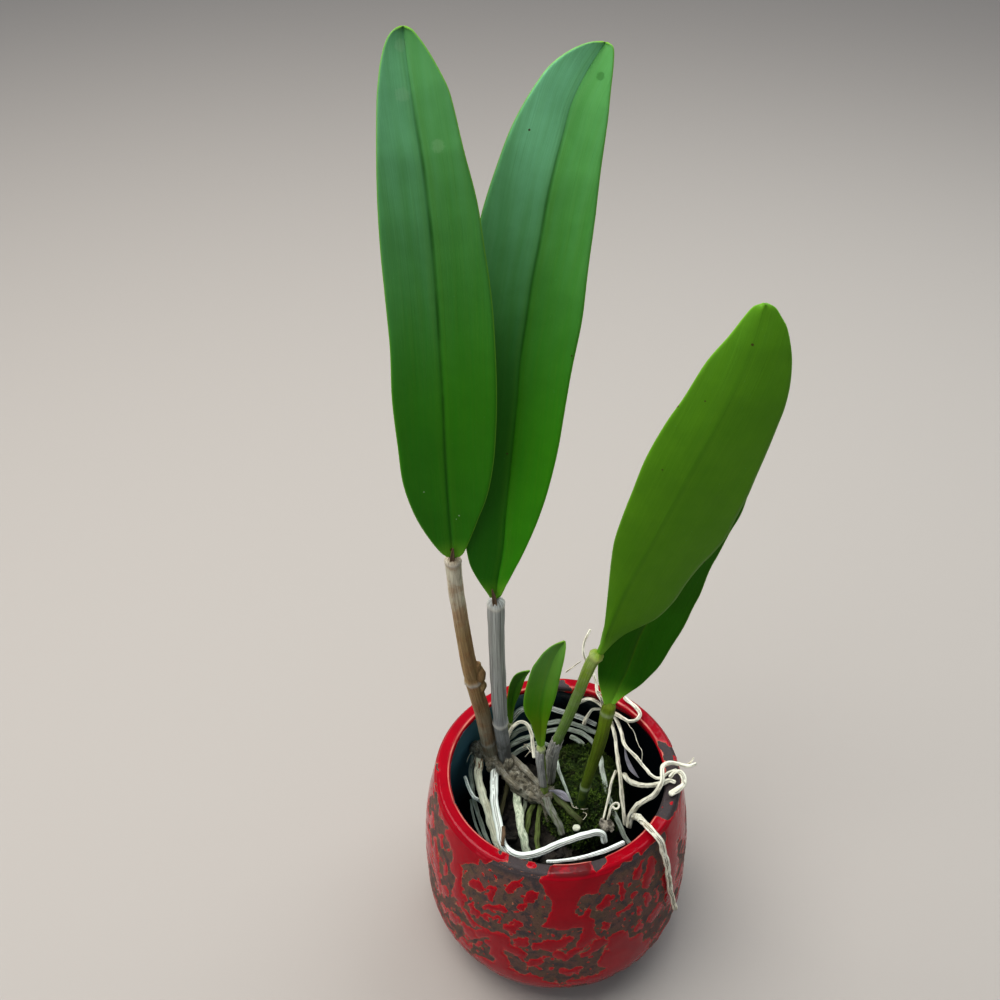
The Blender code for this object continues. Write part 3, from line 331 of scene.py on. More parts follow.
# Small marks where the dark glaze breaks through the red: chains of (across, down, radius) in the view.
DARK_MARKS = [
    [(500, 851.5, 2.6)], [(463, 938, 1.3), (470, 942, 1.7), (480, 941, 1.5), (489, 938.5, 1.2)],
    [(470, 950, 1.3), (478, 955, 1.8), (488, 957, 2.4), (493, 961, 1.5)], [(458, 925, 1.4), (461, 930, 1.5)],
    [(473, 928, 1.0), (479, 929, 1.2)], [(565.3, 953.8, 1.5)], [(440, 848, 1.2), (445, 853, 1.1)],
    [(443, 862, 1.0), (447, 858, 1.2)], [(449, 871, 0.9)], [(447, 877, 0.8)], [(456, 803, 1.2)],
    [(436, 763, 1.0), (437, 771, 0.8)], [(436, 784, 1.2)], [(447, 829, 1.0), (444, 824, 1.0)],
    [(680, 842, 2.2), (679, 850, 1.6)], [(683, 870, 1.2), (681, 885, 1.2)],
    [(676, 925, 1.5), (672, 935, 1.4)], [(590, 949, 0.8), (580, 954, 0.8)], [(608, 950, 1.0)],
]

# The stretch of rim where the red glaze is thin enough for the dark to show through.
THIN_RED = [(556, 861), (575, 861), (590, 859), (592, 867), (588, 875), (570, 877.5), (547, 876), (549, 868)]


def view_axes():
    """Unit vectors of the viewpoint: to its right, up its picture and straight ahead."""
    ahead = np.array((0.0, math.cos(VIEW_TILT), -math.sin(VIEW_TILT)))
    level = np.array((1.0, 0.0, 0.0))
    rise = np.cross(level, ahead)
    right = math.cos(VIEW_ROLL) * level + math.sin(VIEW_ROLL) * rise
    up = math.cos(VIEW_ROLL) * rise - math.sin(VIEW_ROLL) * level
    return right, up, ahead


VIEW_RIGHT, VIEW_UP, VIEW_AHEAD = view_axes()


def sight_line(across, down):
    """The direction from the viewpoint through a place in the view."""
    across = np.asarray(across, float)[..., None]
    down = np.asarray(down, float)[..., None]
    aside = VIEW_RIGHT * (across - VIEW_MIDDLE) / VIEW_LENS
    return VIEW_AHEAD + aside - VIEW_UP * (down - VIEW_MIDDLE) / VIEW_LENS


def seen_at_height(across, down, height):
    """The point at this height that shows at this place in the view."""
    line = sight_line(across, down)
    return VIEW_FROM + line * ((height - VIEW_FROM[2]) / line[..., 2])[..., None]


def seen_at_back(across, down, back):
    """The point this far back that shows at this place in the view."""
    line = sight_line(across, down)
    return VIEW_FROM + line * ((back - VIEW_FROM[1]) / line[..., 1])[..., None]


def distances(points):
    """How far along a line each of its points lies."""
    return np.concatenate(([0.0], np.cumsum(np.linalg.norm(np.diff(points, axis=0), axis=1))))


def unit(vectors):
    return vectors / np.linalg.norm(vectors, axis=-1)[..., None]


def curve_through(points, amounts):
    """Values at these amounts, from 0 to 1 of the way along a smooth curve through the points."""
    points = np.asarray(points, float)
    reach = distances(points)
    last = len(points) - 1
    low = np.maximum(np.arange(last + 1) - 1, 0)
    high = np.minimum(np.arange(last + 1) + 1, last)
    slopes = (points[high] - points[low]) / (reach[high] - reach[low])[:, None]
    place = np.clip(np.asarray(amounts, float), 0.0, 1.0) * reach[-1]
    i = np.clip(np.searchsorted(reach, place, side="right") - 1, 0, last - 1)
    span = reach[i + 1] - reach[i]
    t = ((place - reach[i]) / span)[:, None]
    span = span[:, None]
    return (points[i] * (2 * t**3 - 3 * t**2 + 1) + slopes[i] * span * (t**3 - 2 * t**2 + t)
            + points[i + 1] * (3 * t**2 - 2 * t**3) + slopes[i + 1] * span * (t**3 - t**2))


def evenly(values, amounts):
    """Numbers read at these amounts along a list of evenly spaced ones."""
    return np.interp(amounts, np.linspace(0, 1, len(values)), values)


def steps(count):
    """Amounts from 0 to 1 in this many equal steps."""
    return np.linspace(0.0, 1.0, count + 1)


def length_of(points):
    return float(distances(points)[-1])


def route_seen(places):
    """The points of a route given as (across, down, height)."""
    return seen_at_height(*np.array(places, float).T)


def smoothstep(low, high, value):
    t = np.clip((value - low) / (high - low), 0.0, 1.0)
    return t * t * (3 - 2 * t)


def rough_at(points, size, seed=0.0):
    """Smooth noise from about -1 to 1 at each point, with features of this size in mm."""
    shift = Vector((seed * 17.3, seed * 9.1, seed * 5.7))
    values = [noise.noise(Vector(point) / size + shift) for point in points.reshape(-1, 3)]
    return np.array(values).reshape(points.shape[:-1]) * NOISE_GAIN


def new_piece(name, points, faces, material, slot, replaces=(), attributes=None, smooth=True):
    """One object from points in mm, riding on the body, with a named value or vector at each point."""
    mesh = bpy.data.meshes.new(name)
    points = np.asarray(points, float) * MM
    mesh.from_pydata(points.tolist(), [], faces if isinstance(faces, list) else faces.tolist())
    for key, values in (attributes or {}).items():
        values = np.asarray(values, np.float32)
        if values.ndim == 1:
            mesh.attributes.new(key, "FLOAT", "POINT").data.foreach_set("value", values)
        else:
            mesh.attributes.new(key, "FLOAT_VECTOR", "POINT").data.foreach_set("vector", values.ravel())
    shaped = bmesh.new()
    shaped.from_mesh(mesh)
    bmesh.ops.recalc_face_normals(shaped, faces=shaped.faces)
    shaped.to_mesh(mesh)
    shaped.free()
    if smooth:
        mesh.shade_smooth()
    mesh.materials.append(material)
    made = bpy.data.objects.new(name, mesh)
    bpy.context.scene.collection.objects.link(made)
    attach(made, BODY)
    if replaces:
        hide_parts(*replaces)
    return made


def frames_along(points):
    """Two directions square to a route at each point, the first toward the viewpoint, and its own."""
    place = np.arange(len(points))
    tangents = unit(points[np.minimum(place + 1, len(points) - 1)] - points[np.maximum(place - 1, 0)])
    toward = 0.05 * VIEW_RIGHT - VIEW_AHEAD
    sides = unit(toward - tangents * (tangents @ toward)[:, None])
    return sides, np.cross(tangents, sides), tangents


def ring_faces(rows, sides):
    """Faces that join rows of points, each row a closed ring."""
    faces = []
    for row in range(rows - 1):
        low, high = row * sides, (row + 1) * sides
        for k in range(sides):
            n = (k + 1) % sides
            faces.append((low + k, low + n, high + n, high + k))
    return faces


def end_faces(rows, sides):
    """Faces that close the first and last ring onto the two points that follow them."""
    faces = []
    for k in range(sides):
        n = (k + 1) % sides
        faces.append((n, k, rows * sides))
        faces.append(((rows - 1) * sides + k, (rows - 1) * sides + n, rows * sides + 1))
    return faces


def bar_shape(points, radii, sides, relief=None, start_dome=0.55, end_dome=0.8):
    """A bar along a route with domed ends. Relief gives how far each point stands out, in mm."""
    dome = np.radians((18, 42, 66))
    lead = unit(points[0] - points[1])
    trail = unit(points[-1] - points[-2])
    head = [points[0] + lead * radii[0] * start_dome * math.sin(a) for a in dome[::-1]]
    tail = [points[-1] + trail * radii[-1] * end_dome * math.sin(a) for a in dome]
    line = np.array(head + list(points) + tail)
    width = np.concatenate((radii[0] * np.cos(dome[::-1]), radii, radii[-1] * np.cos(dome)))
    side, other, _ = frames_along(line)
    along = distances(line)
    turns = np.linspace(0, 2 * math.pi, sides, endpoint=False)
    out = side[:, None] * np.cos(turns)[None, :, None] + other[:, None] * np.sin(turns)[None, :, None]
    reach = np.repeat(width[:, None], sides, axis=1)
    if relief is not None:
        fade = np.minimum(1.0, width / max(radii.max(), 1e-6))[:, None]
        reach = reach + relief(along, turns, out) * fade
    rows = len(line)
    skin = np.zeros((rows, sides, 3))
    skin[..., 0] = np.cos(turns)[None]
    skin[..., 1] = np.sin(turns)[None]
    skin[..., 2] = along[:, None]
    ends = np.array([line[0] + lead * radii[0] * 0.05, line[-1] + trail * radii[-1] * 0.05])
    shape = np.vstack(((line[:, None] + out * reach[..., None]).reshape(-1, 3), ends))
    skin = np.vstack((skin.reshape(-1, 3), [(0, 0, 0), (0, 0, along[-1])]))
    return shape, ring_faces(rows, sides) + end_faces(rows, sides), skin


def join_shapes(shapes):
    """Several (points, faces, skin) shapes as one."""
    points, faces, skins, skip = [], [], [], 0
    for shape, own, skin in shapes:
        points.append(shape)
        skins.append(skin)
        faces += [tuple(corner + skip for corner in face) for face in own]
        skip += len(shape)
    return np.vstack(points), faces, np.vstack(skins)


def skin_piece(name, shapes, material, slot, nodes, **kind):
    """One object from bars, lumps or sheets, with the place on its skin at each point."""
    shape, faces, skin = join_shapes(shapes)
    new_piece(name, shape, faces, material, slot, nodes, {"skin": skin}, **kind)


def sheet_shape(grid, halves):
    """Points and faces of a closed sheet: rows of points down its middle, and half its thickness at each."""
    rows, columns = grid.shape[:2]
    i, j = np.arange(rows), np.arange(columns)
    along = grid[np.minimum(i + 1, rows - 1)] - grid[np.maximum(i - 1, 0)]
    across = grid[:, np.minimum(j + 1, columns - 1)] - grid[:, np.maximum(j - 1, 0)]
    normal = np.cross(across, along)
    normal /= np.maximum(np.linalg.norm(normal, axis=2), 1e-9)[..., None]
    front = grid + normal * halves[..., None]
    behind = grid - normal * halves[..., None]
    skip = rows * columns
    faces = []
    for a in range(rows - 1):
        for b in range(columns - 1):
            p = a * columns + b
            q = p + columns
            faces.append((p, p + 1, q + 1, q))
            faces.append((skip + q, skip + q + 1, skip + p + 1, skip + p))
    rim = list(range(columns))
    rim += [r * columns + columns - 1 for r in range(1, rows)]
    rim += [(rows - 1) * columns + c for c in range(columns - 2, -1, -1)]
    rim += [r * columns for r in range(rows - 2, 0, -1)]
    for a, b in zip(rim, rim[1:] + rim[:1]):
        faces.append((b, a, skip + a, skip + b))
    return np.vstack((front.reshape(-1, 3), behind.reshape(-1, 3))), faces


def seen_places(points):
    """Where points show in the view, as (across, down) rows."""
    away = points - VIEW_FROM
    depth = away @ VIEW_AHEAD
    return np.stack((VIEW_MIDDLE + VIEW_LENS * (away @ VIEW_RIGHT) / depth,
                     VIEW_MIDDLE - VIEW_LENS * (away @ VIEW_UP) / depth), axis=-1)


def seen_across_down(points):
    return np.moveaxis(seen_places(points), -1, 0)


def lump_shape(centre, radii, rough=0.12, size=3.0, seed=1.0, rows=12, sides=18):
    """A rounded lump with an uneven skin."""
    rises = np.linspace(0, math.pi, rows + 1)
    turns = np.linspace(0, 2 * math.pi, sides, endpoint=False)
    ball = np.array([(math.sin(a) * math.cos(t), math.sin(a) * math.sin(t), -math.cos(a))
                     for a in rises[1:-1] for t in turns] + [(0, 0, -1.0), (0, 0, 1.0)])
    uneven = rough_at(ball * np.mean(radii), size, seed) * rough
    shape = centre + ball * np.asarray(radii) * (1 + uneven)[:, None]
    skin = np.column_stack((ball[:, 0], ball[:, 1], (ball[:, 2] + 1) * radii[2]))
    return shape, ring_faces(rows - 1, sides) + end_faces(rows - 1, sides), skin


def skin_noise(along, turns, around, length, seed):
    """Noise over a bar's skin: finer round it as around grows, and drawn out along it by length, in mm."""
    shift = seed * 7.7
    values = [[noise.noise(Vector((math.cos(t) * around, math.sin(t) * around, a / length + shift)))
               for t in turns] for a in along]
    return np.array(values) * NOISE_GAIN


class Net:
    """Adds nodes to one tree and links them."""

    def __init__(self, tree):
        self.tree = tree

    def add(self, kind, **settings):
        node = self.tree.nodes.new(kind)
        for key, value in settings.items():
            setattr(node, key, value)
        return node

    def put(self, socket, value):
        if isinstance(value, bpy.types.NodeSocket):
            self.tree.links.new(value, socket)
        elif socket.type == "RGBA":
            socket.default_value = (*tuple(value)[:3], 1.0)
        else:
            socket.default_value = value

    def maths(self, operation, *values):
        node = self.add("ShaderNodeMath", operation=operation)
        for socket, value in zip(node.inputs, values):
            self.put(socket, value)
        return node.outputs[0]

    def plus(self, first, second):
        return self.maths("ADD", first, second)

    def minus(self, first, second):
        return self.maths("SUBTRACT", first, second)

    def times(self, first, second):
        return self.maths("MULTIPLY", first, second)

    def over(self, first, second):
        return self.maths("DIVIDE", first, second)

    def size(self, value):
        return self.maths("ABSOLUTE", value)

    def vector_maths(self, operation, *values):
        node = self.add("ShaderNodeVectorMath", operation=operation)
        for socket, value in zip(node.inputs, values):
            self.put(socket, value)
        return node.outputs["Value" if operation in ("DISTANCE", "LENGTH", "DOT_PRODUCT") else "Vector"]

    def spread(self, value, low, high, start=0.0, end=1.0):
        """A soft step from start to end as the value goes from low to high."""
        node = self.add("ShaderNodeMapRange", interpolation_type="SMOOTHSTEP")
        for key, number in (("Value", value), ("From Min", low), ("From Max", high), ("To Min", start),
                            ("To Max", end)):
            self.put(node.inputs[key], number)
        return node.outputs["Result"]

    def mix(self, amount, first, second, share=None):
        """The first colour with the second over it, by an amount and, where it is given, a share of that."""
        node = self.add("ShaderNodeMix", data_type="RGBA")
        self.put(node.inputs[0], amount if share is None else self.times(amount, share))
        self.put(node.inputs[6], first)
        self.put(node.inputs[7], second)
        return node.outputs[2]

    def noise(self, place, scale, detail=3.0, roughness=0.55):
        node = self.add("ShaderNodeTexNoise")
        for key, value in (("Vector", place), ("Scale", scale), ("Detail", detail), ("Roughness", roughness)):
            self.put(node.inputs[key], value)
        return node.outputs[0]

    def grain(self, scale, detail=3.0, roughness=0.55):
        """Noise over the object, with this many features in a mm."""
        return self.noise(self.place(), scale / MM, detail, roughness)

    def attribute(self, name, output="Fac"):
        return self.add("ShaderNodeAttribute", attribute_name=name).outputs[output]

    def parts(self, vector):
        node = self.add("ShaderNodeSeparateXYZ")
        self.put(node.inputs[0], vector)
        return node.outputs

    def join(self, x, y, z):
        node = self.add("ShaderNodeCombineXYZ")
        for socket, value in zip(node.inputs, (x, y, z)):
            self.put(socket, value)
        return node.outputs[0]

    def place(self):
        return self.add("ShaderNodeTexCoord").outputs["Object"]

    def group(self, name, fill, **values):
        """A group's mask, with its inputs set to these values. Fill makes the group the first time."""
        tree = bpy.data.node_groups.get(name)
        if tree is None:
            tree = bpy.data.node_groups.new(name, "ShaderNodeTree")
            for key, value in values.items():
                kind = "NodeSocketVector" if isinstance(value, tuple) else "NodeSocketFloat"
                tree.interface.new_socket(key.capitalize(), in_out="INPUT", socket_type=kind)
            tree.interface.new_socket("Mask", in_out="OUTPUT", socket_type="NodeSocketFloat")
            inner = Net(tree)
            given = inner.add("NodeGroupInput").outputs
            inner.put(inner.add("NodeGroupOutput").inputs["Mask"], fill(inner, given))
        node = self.add("ShaderNodeGroup", node_tree=tree)
        for key, value in values.items():
            self.put(node.inputs[key.capitalize()], value)
        return node.outputs["Mask"]

    def streaks(self, around, length, contrast):
        return self.group("Skin streaks", fill_streaks, around=around, length=length, contrast=contrast)

    def patches(self, size, middle=0.5, softness=0.1, shift=0.0):
        return self.group("Patches", fill_patches, size=size, middle=middle, softness=softness, shift=shift)

    def spot(self, centre, radius):
        return self.group("Spot", fill_spot, centre=centre, radius=radius)

    def bump(self, height, distance):
        """A Bump node's normal. Distance is in mm."""
        node = self.add("ShaderNodeBump")
        self.put(node.inputs["Strength"], 1.0)
        self.put(node.inputs["Distance"], distance * MM)
        self.put(node.inputs["Height"], height)
        return node.outputs["Normal"]

    def coat(self, shader, colour, height, depth, rough=None):
        """Feeds a shader its colour, its roughness and its relief, which is this many mm deep."""
        self.put(shader["Base Color"], colour)
        if rough is not None:
            self.put(shader["Roughness"], rough)
        self.put(shader["Normal"], self.bump(height, depth))


def new_material(name, **fixed):
    """A material with one Principled BSDF, and the nodes to feed it."""
    made = bpy.data.materials.new(name)
    made.use_nodes = True
    made.node_tree.nodes.clear()
    net = Net(made.node_tree)
    shader = net.add("ShaderNodeBsdfPrincipled")
    out = net.add("ShaderNodeOutputMaterial")
    net.put(out.inputs["Surface"], shader.outputs["BSDF"])
    for key, value in fixed.items():
        shader.inputs[key.replace("_", " ").title().replace("Ior", "IOR")].default_value = value
    return made, net, shader.inputs


def fill_streaks(net, given):
    """Streaks along a stem or a root, from 0 to 1."""
    around, other, along = net.parts(net.attribute("skin", "Vector"))
    drawn = net.join(net.times(around, given["Around"]), net.times(other, given["Around"]),
                     net.over(along, given["Length"]))
    low = net.minus(0.5, given["Contrast"])
    high = net.plus(0.5, given["Contrast"])
    return net.spread(net.noise(drawn, 1.0, 4.0, 0.6), low, high)


def fill_patches(net, given):
    """Blotches of a given size in mm, from 0 to 1."""
    shifted = net.vector_maths("ADD", net.place(), net.join(given["Shift"], 0.0, 0.0))
    value = net.noise(shifted, net.over(1.0 / MM, given["Size"]), 3.0, 0.6)
    low = net.minus(given["Middle"], given["Softness"])
    high = net.plus(given["Middle"], given["Softness"])
    return net.spread(value, low, high)


def fill_spot(net, given):
    """A mark with a ragged edge round one place, 1 inside it."""
    away = net.over(net.vector_maths("DISTANCE", net.place(), given["Centre"]), MM)
    reach = net.plus(away, net.times(net.grain(0.8, 2.0), given["Radius"]))
    inner = net.times(given["Radius"], 1.1)
    return net.spread(reach, inner, net.times(given["Radius"], 1.5), 1.0, 0.0)


def pot_radius(height):
    """The radius of the pot's outer wall at a height."""
    height = np.asarray(height, float)
    fall = np.clip((BELLY_HEIGHT - height) / BELLY_HEIGHT, 0, 1)
    rise = np.clip((height - BELLY_HEIGHT) / (POT_HEIGHT - BELLY_HEIGHT), 0, 1)
    return (BELLY_RADIUS - (BELLY_RADIUS - FOOT_RADIUS) * fall**BELOW_BELLY
            - (BELLY_RADIUS - RIM_RADIUS) * rise**ABOVE_BELLY)


def pot_inner_radius(height):
    """The radius of the pot's inner wall at a height."""
    height = np.asarray(height, float)
    belly = BELLY_RADIUS - RIM_WALL
    fall = np.clip((BELLY_HEIGHT - height) / (BELLY_HEIGHT - FLOOR_THICKNESS), 0, 1)
    rise = np.clip((height - BELLY_HEIGHT) / (POT_HEIGHT - BELLY_HEIGHT), 0, 1)
    return (belly - (belly - FLOOR_RADIUS) * fall**BELOW_BELLY
            - (belly - RIM_RADIUS + RIM_WALL) * rise**ABOVE_BELLY)


SHOULDER = POT_HEIGHT - RIM_ROUNDING


def evenly_along(profile, count):
    """A profile of (radius, height) read again at this many even steps."""
    profile = np.asarray(profile, float)
    reach = distances(profile)
    place = np.linspace(0, reach[-1], count + 1)
    return np.column_stack((np.interp(place, reach, profile[:, 0]), np.interp(place, reach, profile[:, 1])))


def outer_profile(count):
    """The pot's outer wall from its foot to its shoulder, then over the rounded outer edge of the rim."""
    heights = np.linspace(0.5, SHOULDER, 500)
    wall = evenly_along(np.column_stack((pot_radius(heights), heights)), count)
    turns = np.radians(np.linspace(10, 90, 9))
    edge = np.column_stack((RIM_RADIUS - RIM_ROUNDING * (1 - np.cos(turns)),
                            SHOULDER + RIM_ROUNDING * np.sin(turns)))
    return wall, edge


WALL_ROWS = 148
WALL, RIM_EDGE = outer_profile(WALL_ROWS)
VIEW_MM = 0.6


def rounded_outline(outline):
    """A closed outline in the view with its corners rounded."""
    return curve_through(np.array(outline + outline[:1], float), steps(3 * len(outline)))[:-1]


def inside_outline(across, down, outline, far=14.0):
    """How far inside a closed outline each place in the view lies, and negative outside it."""
    result = np.full(across.shape, -far)
    near = ((across > outline[:, 0].min() - far) & (across < outline[:, 0].max() + far)
            & (down > outline[:, 1].min() - far) & (down < outline[:, 1].max() + far))
    x, y = across[near], down[near]
    distance = np.full(x.shape, far)
    within = np.zeros(x.shape, bool)
    for (ax, ay), (bx, by) in zip(outline, np.roll(outline, -1, axis=0)):
        dx, dy = bx - ax, by - ay
        t = np.clip(((x - ax) * dx + (y - ay) * dy) / max(dx * dx + dy * dy, 1e-9), 0, 1)
        distance = np.minimum(distance, np.hypot(x - ax - t * dx, y - ay - t * dy))
        if ay != by:
            within ^= ((ay > y) != (by > y)) & (x < (bx - ax) * (y - ay) / (by - ay) + ax)
    result[near] = np.where(within, distance, -distance)
    return result


def inside_run(across, down, run, far=14.0):
    """How far inside a chain of round places each place in the view lies, and negative outside it."""
    result = np.full(across.shape, -far)
    places = run if len(run) > 1 else run * 2
    for (ax, ay, ar), (bx, by, br) in zip(places, places[1:]):
        near = ((across > min(ax, bx) - far) & (across < max(ax, bx) + far)
                & (down > min(ay, by) - far) & (down < max(ay, by) + far))
        x, y = across[near], down[near]
        dx, dy = bx - ax, by - ay
        t = np.clip(((x - ax) * dx + (y - ay) * dy) / max(dx * dx + dy * dy, 1e-9), 0, 1)
        depth = ar + (br - ar) * t - np.hypot(x - ax - t * dx, y - ay - t * dy)
        result[near] = np.maximum(result[near], depth)
    return result


def glaze_depth(points, facing, wall):
    """How far inside the red glaze each place lies, in mm, and negative on the dark glaze."""
    across, down = seen_across_down(points)
    across = across + 1.5 * rough_at(points, 3.4, 1) + 0.6 * rough_at(points, 1.5, 2)
    down = down + 1.5 * rough_at(points, 3.4, 3) + 0.6 * rough_at(points, 1.5, 4)
    seen = np.full(across.shape, 14.0)
    for outline in DARK_PATCHES.values():
        seen = np.minimum(seen, -inside_outline(across, down, rounded_outline(outline)))
    for run in RED_RUNS:
        seen = np.maximum(seen, inside_run(across, down, run))
    seen = seen * VIEW_MM
    droplets = (rough_at(points, 2.6, 5) - 0.66) * 2.4
    seen = np.where(wall, np.maximum(seen, droplets), seen)
    for run in DARK_MARKS:
        seen = np.minimum(seen, -inside_run(across, down, run) * VIEW_MM)
    stretched = points * np.array((1.0, 1.0, 1.3))
    patch = (-0.12 - rough_at(points, 40, 6) - 0.45 * rough_at(points, 12, 7)) * 14
    islands = (rough_at(stretched, 9, 8) + 0.6 * rough_at(stretched, 4, 9) - 0.2) * 5
    bites = (0.95 - rough_at(stretched, 7, 10) - 0.5 * rough_at(stretched, 3, 13)) * 4
    hidden = np.clip(np.maximum(np.minimum(np.maximum(patch, islands), bites), droplets), -8, 8)
    turned = (1 - smoothstep(0.1, 0.26, facing)) * wall
    return seen * (1 - turned) + hidden * turned


def glaze_material(look):
    """Red glaze pooled over a dark matt one, with a pale line where it ends, a rim inner edge worn and
    painted with highlight, and gloss black inside with a painted navy sheen.
    """
    made, net, shader = new_material("glaze", specular_ior_level=0.17)
    place = net.place()
    x, y, height = net.parts(net.place())
    fine = net.minus(net.grain(0.75, 4.0, 0.65), 0.5)
    depth = net.plus(net.attribute("glaze"), net.times(fine, 1.5))
    red_here = net.spread(depth, -0.08, 0.08)
    dark = net.mix(net.patches(9.0, softness=0.12), look.brown, look.olive)
    dark = net.mix(net.patches(4.0, middle=0.55, softness=0.1, shift=0.4), dark,
                   look.slate)
    dark = net.mix(net.spread(height, 0.1150, 0.1195), dark, look.slate)
    mottle = net.spread(net.grain(1.1, 4.0, 0.7), 0.35, 0.7)
    dark = net.mix(mottle, dark, look.umber, 0.42)
    speckle = net.spread(net.grain(1.7, 3.0, 0.7), 0.6, 0.68)
    near_red = net.spread(depth, -3.5, -0.3, 0.25, 0.8)
    dark = net.mix(speckle, dark, look.ochre, near_red)
    waves = net.patches(16.0, softness=0.3)
    deep = net.mix(waves, look.red, look.deep_red)
    colour = net.mix(red_here, dark, look.bright_red)
    colour = net.mix(net.spread(depth, 0.3, 1.1), colour, deep)
    line = net.times(net.spread(depth, -0.2, -0.02), net.spread(depth, 0.26, 0.06))
    broken = net.spread(net.grain(0.3, 3.0), 0.4, 0.68, 0.08, 0.8)
    line = net.times(line, net.minus(1.0, net.attribute("thin")))
    colour = net.mix(line, colour, look.border, broken)
    thin = net.times(net.attribute("thin"), net.patches(5.0, middle=0.42))
    colour = net.mix(thin, colour, look.umber, 0.68)
    # Worn glaze and painted highlight: a salmon line along the rim's inner edge.
    inner_edge = RIM_RADIUS - RIM_WALL + 0.5 * RIM_ROUNDING
    radius = net.over(net.vector_maths("LENGTH", net.join(x, y, 0.0)), MM)
    off_edge = net.size(net.minus(radius, inner_edge))
    worn_and_highlight = net.times(net.spread(off_edge, 0.6, 0.15), net.spread(height, 0.1200, 0.1212))
    worn_and_highlight = net.times(worn_and_highlight, net.spread(net.grain(0.06, 2.0), 0.35, 0.6, 0.25, 0.8))
    colour = net.mix(worn_and_highlight, colour, look.worn_and_highlight, red_here)
    inside = net.spread(net.plus(net.attribute("inside"), net.times(fine, 1.6)), -0.2, 0.35)
    # Painted sheen: the black turns navy on the left inner wall, above about 40 mm, as the light it catches.
    left = net.spread(net.over(x, MM), 12.0, -46.0)
    painted_navy_sheen = net.mix(left, look.black, look.painted_navy_sheen, net.spread(height, 0.038, 0.078))
    colour = net.mix(inside, colour, painted_navy_sheen)
    rough = net.plus(net.spread(depth, -0.15, 0.3, 0.55, 0.14), net.times(fine, 0.12))
    rough = net.parts(net.mix(inside, net.join(rough, rough, rough), (0.22, 0.22, 0.22)))[0]
    grit = net.times(net.grain(1.6, 4.0, 0.7), net.minus(1.0, red_here))
    ripple = net.times(net.grain(0.16, 2.0), 0.9)
    net.coat(shader, colour, net.plus(grit, ripple), 0.28, rough)
    return made


def turned_rows():
    """The pot's rows as (radius, height), from the middle of its foot round to the middle of its floor."""
    foot = [(0.01, 1.4), (30.0, 1.4), (35.0, 1.2), (36.4, 0.0), (FOOT_RADIUS - 1.0, 0.0)]
    flat = np.linspace(RIM_RADIUS - RIM_ROUNDING, RIM_RADIUS - RIM_WALL + RIM_ROUNDING, 6)[1:-1]
    top = [(radius, POT_HEIGHT) for radius in flat]
    turns = np.radians(np.linspace(90, 0, 9))
    inner = [(RIM_RADIUS - RIM_WALL + RIM_ROUNDING * (1 - math.cos(t)), SHOULDER + RIM_ROUNDING * math.sin(t))
             for t in turns]
    near = np.linspace(SHOULDER - 0.9, SHOULDER - 9.0, 10)
    bend = np.linspace(0.12, math.pi / 2, 22)
    deep = SHOULDER - 9.0 - (SHOULDER - 9.0 - FLOOR_THICKNESS) * (1 - np.cos(bend))
    inside = [(float(pot_inner_radius(height)), height) for height in np.concatenate((near, deep))]
    floor = [(FLOOR_RADIUS * 0.7, FLOOR_THICKNESS), (FLOOR_RADIUS * 0.35, FLOOR_THICKNESS),
             (0.01, FLOOR_THICKNESS)]
    rows = np.array(foot + WALL.tolist() + RIM_EDGE.tolist() + top + inner + inside + floor)
    return rows, len(foot), len(foot) + len(WALL) + len(RIM_EDGE) + len(top) + 9


def make_pot(look):
    """The cover pot: its turned body, with the red glaze standing proud of the dark one."""
    rows, first, lip_end = turned_rows()
    columns = look.columns
    even = np.linspace(-1, 1, columns, endpoint=False)
    around = math.pi * (0.72 * even + 0.28 * even**3)
    place = np.arange(len(rows))
    ahead = rows[np.minimum(place + 1, len(rows) - 1)] - rows[np.maximum(place - 1, 0)]
    out = unit(np.column_stack((ahead[:, 1], -ahead[:, 0])))
    ways = np.stack((np.sin(around), -np.cos(around), np.ones(columns)), axis=-1)
    points = ways * rows[:, None, (0, 0, 1)]
    normal = ways * out[:, None, (0, 0, 1)]
    facing = (normal * unit(VIEW_FROM - points)).sum(axis=2)
    depth = np.full(facing.shape, 8.0)
    coated = slice(first, lip_end + 10)
    wall = (rows[:, 1] < POT_HEIGHT - RIM_BAND) & (place < lip_end)
    walls = np.repeat(wall[coated, None], columns, axis=1)
    depth[coated] = glaze_depth(points[coated], facing[coated], walls)
    step = look.glaze_step / MM
    proud = np.where(depth > 0, step * (1 - np.exp(-np.maximum(depth, 0) / 0.8)), 0.0)
    lift = proud - (step + 0.05) + 0.08 * rough_at(points, 22, 11)
    lift[:first] = 0.0
    lift[lip_end + 12:] = -0.05
    points = points + normal * lift[..., None]
    run_down = 1.0 + 4.6 * smoothstep(-0.25, 0.75, np.cos(around - math.radians(122)))
    below = (SHOULDER + 1.2 - rows[:, 1])[:, None] - run_down[None]
    inner_side = (place > lip_end - 12)[:, None]
    inside = np.where(inner_side, below + 0.8 * rough_at(points, 6, 12), -9.0)
    thin = smoothstep(-2.0, 2.5, inside_outline(*seen_across_down(points), rounded_outline(THIN_RED)))
    thin = thin * (facing > 0.2) * (rows[:, 1] > POT_HEIGHT - RIM_BAND)[:, None]
    new_piece("glazed_pot", points.reshape(-1, 3), ring_faces(len(rows), columns), glaze_material(look),
              "glaze", ["cover_pot"], {"glaze": depth.ravel(), "inside": inside.ravel(),
                                       "thin": thin.ravel()})


LEAF_THICKNESS = 1.9
LEAF_EDGE_THICKNESS = 0.8

# Each kind of mark on a leaf: which colour of the leaf's finish it takes, and how strongly.
# The bloom kind: faint pale patches of the bloom and its painted sheen.
MARKS = {"dark": ("brown", 0.9), "pale": ("pale", 0.8), "bloom_sheen": ("pale", 0.12), "dim": ("dark", 0.4)}

PLAIN_LEAF = dict(tint=(1, 1, 1), bloom_sheen_gain=1.0, painted_shadow_left=0.0, spots=[])
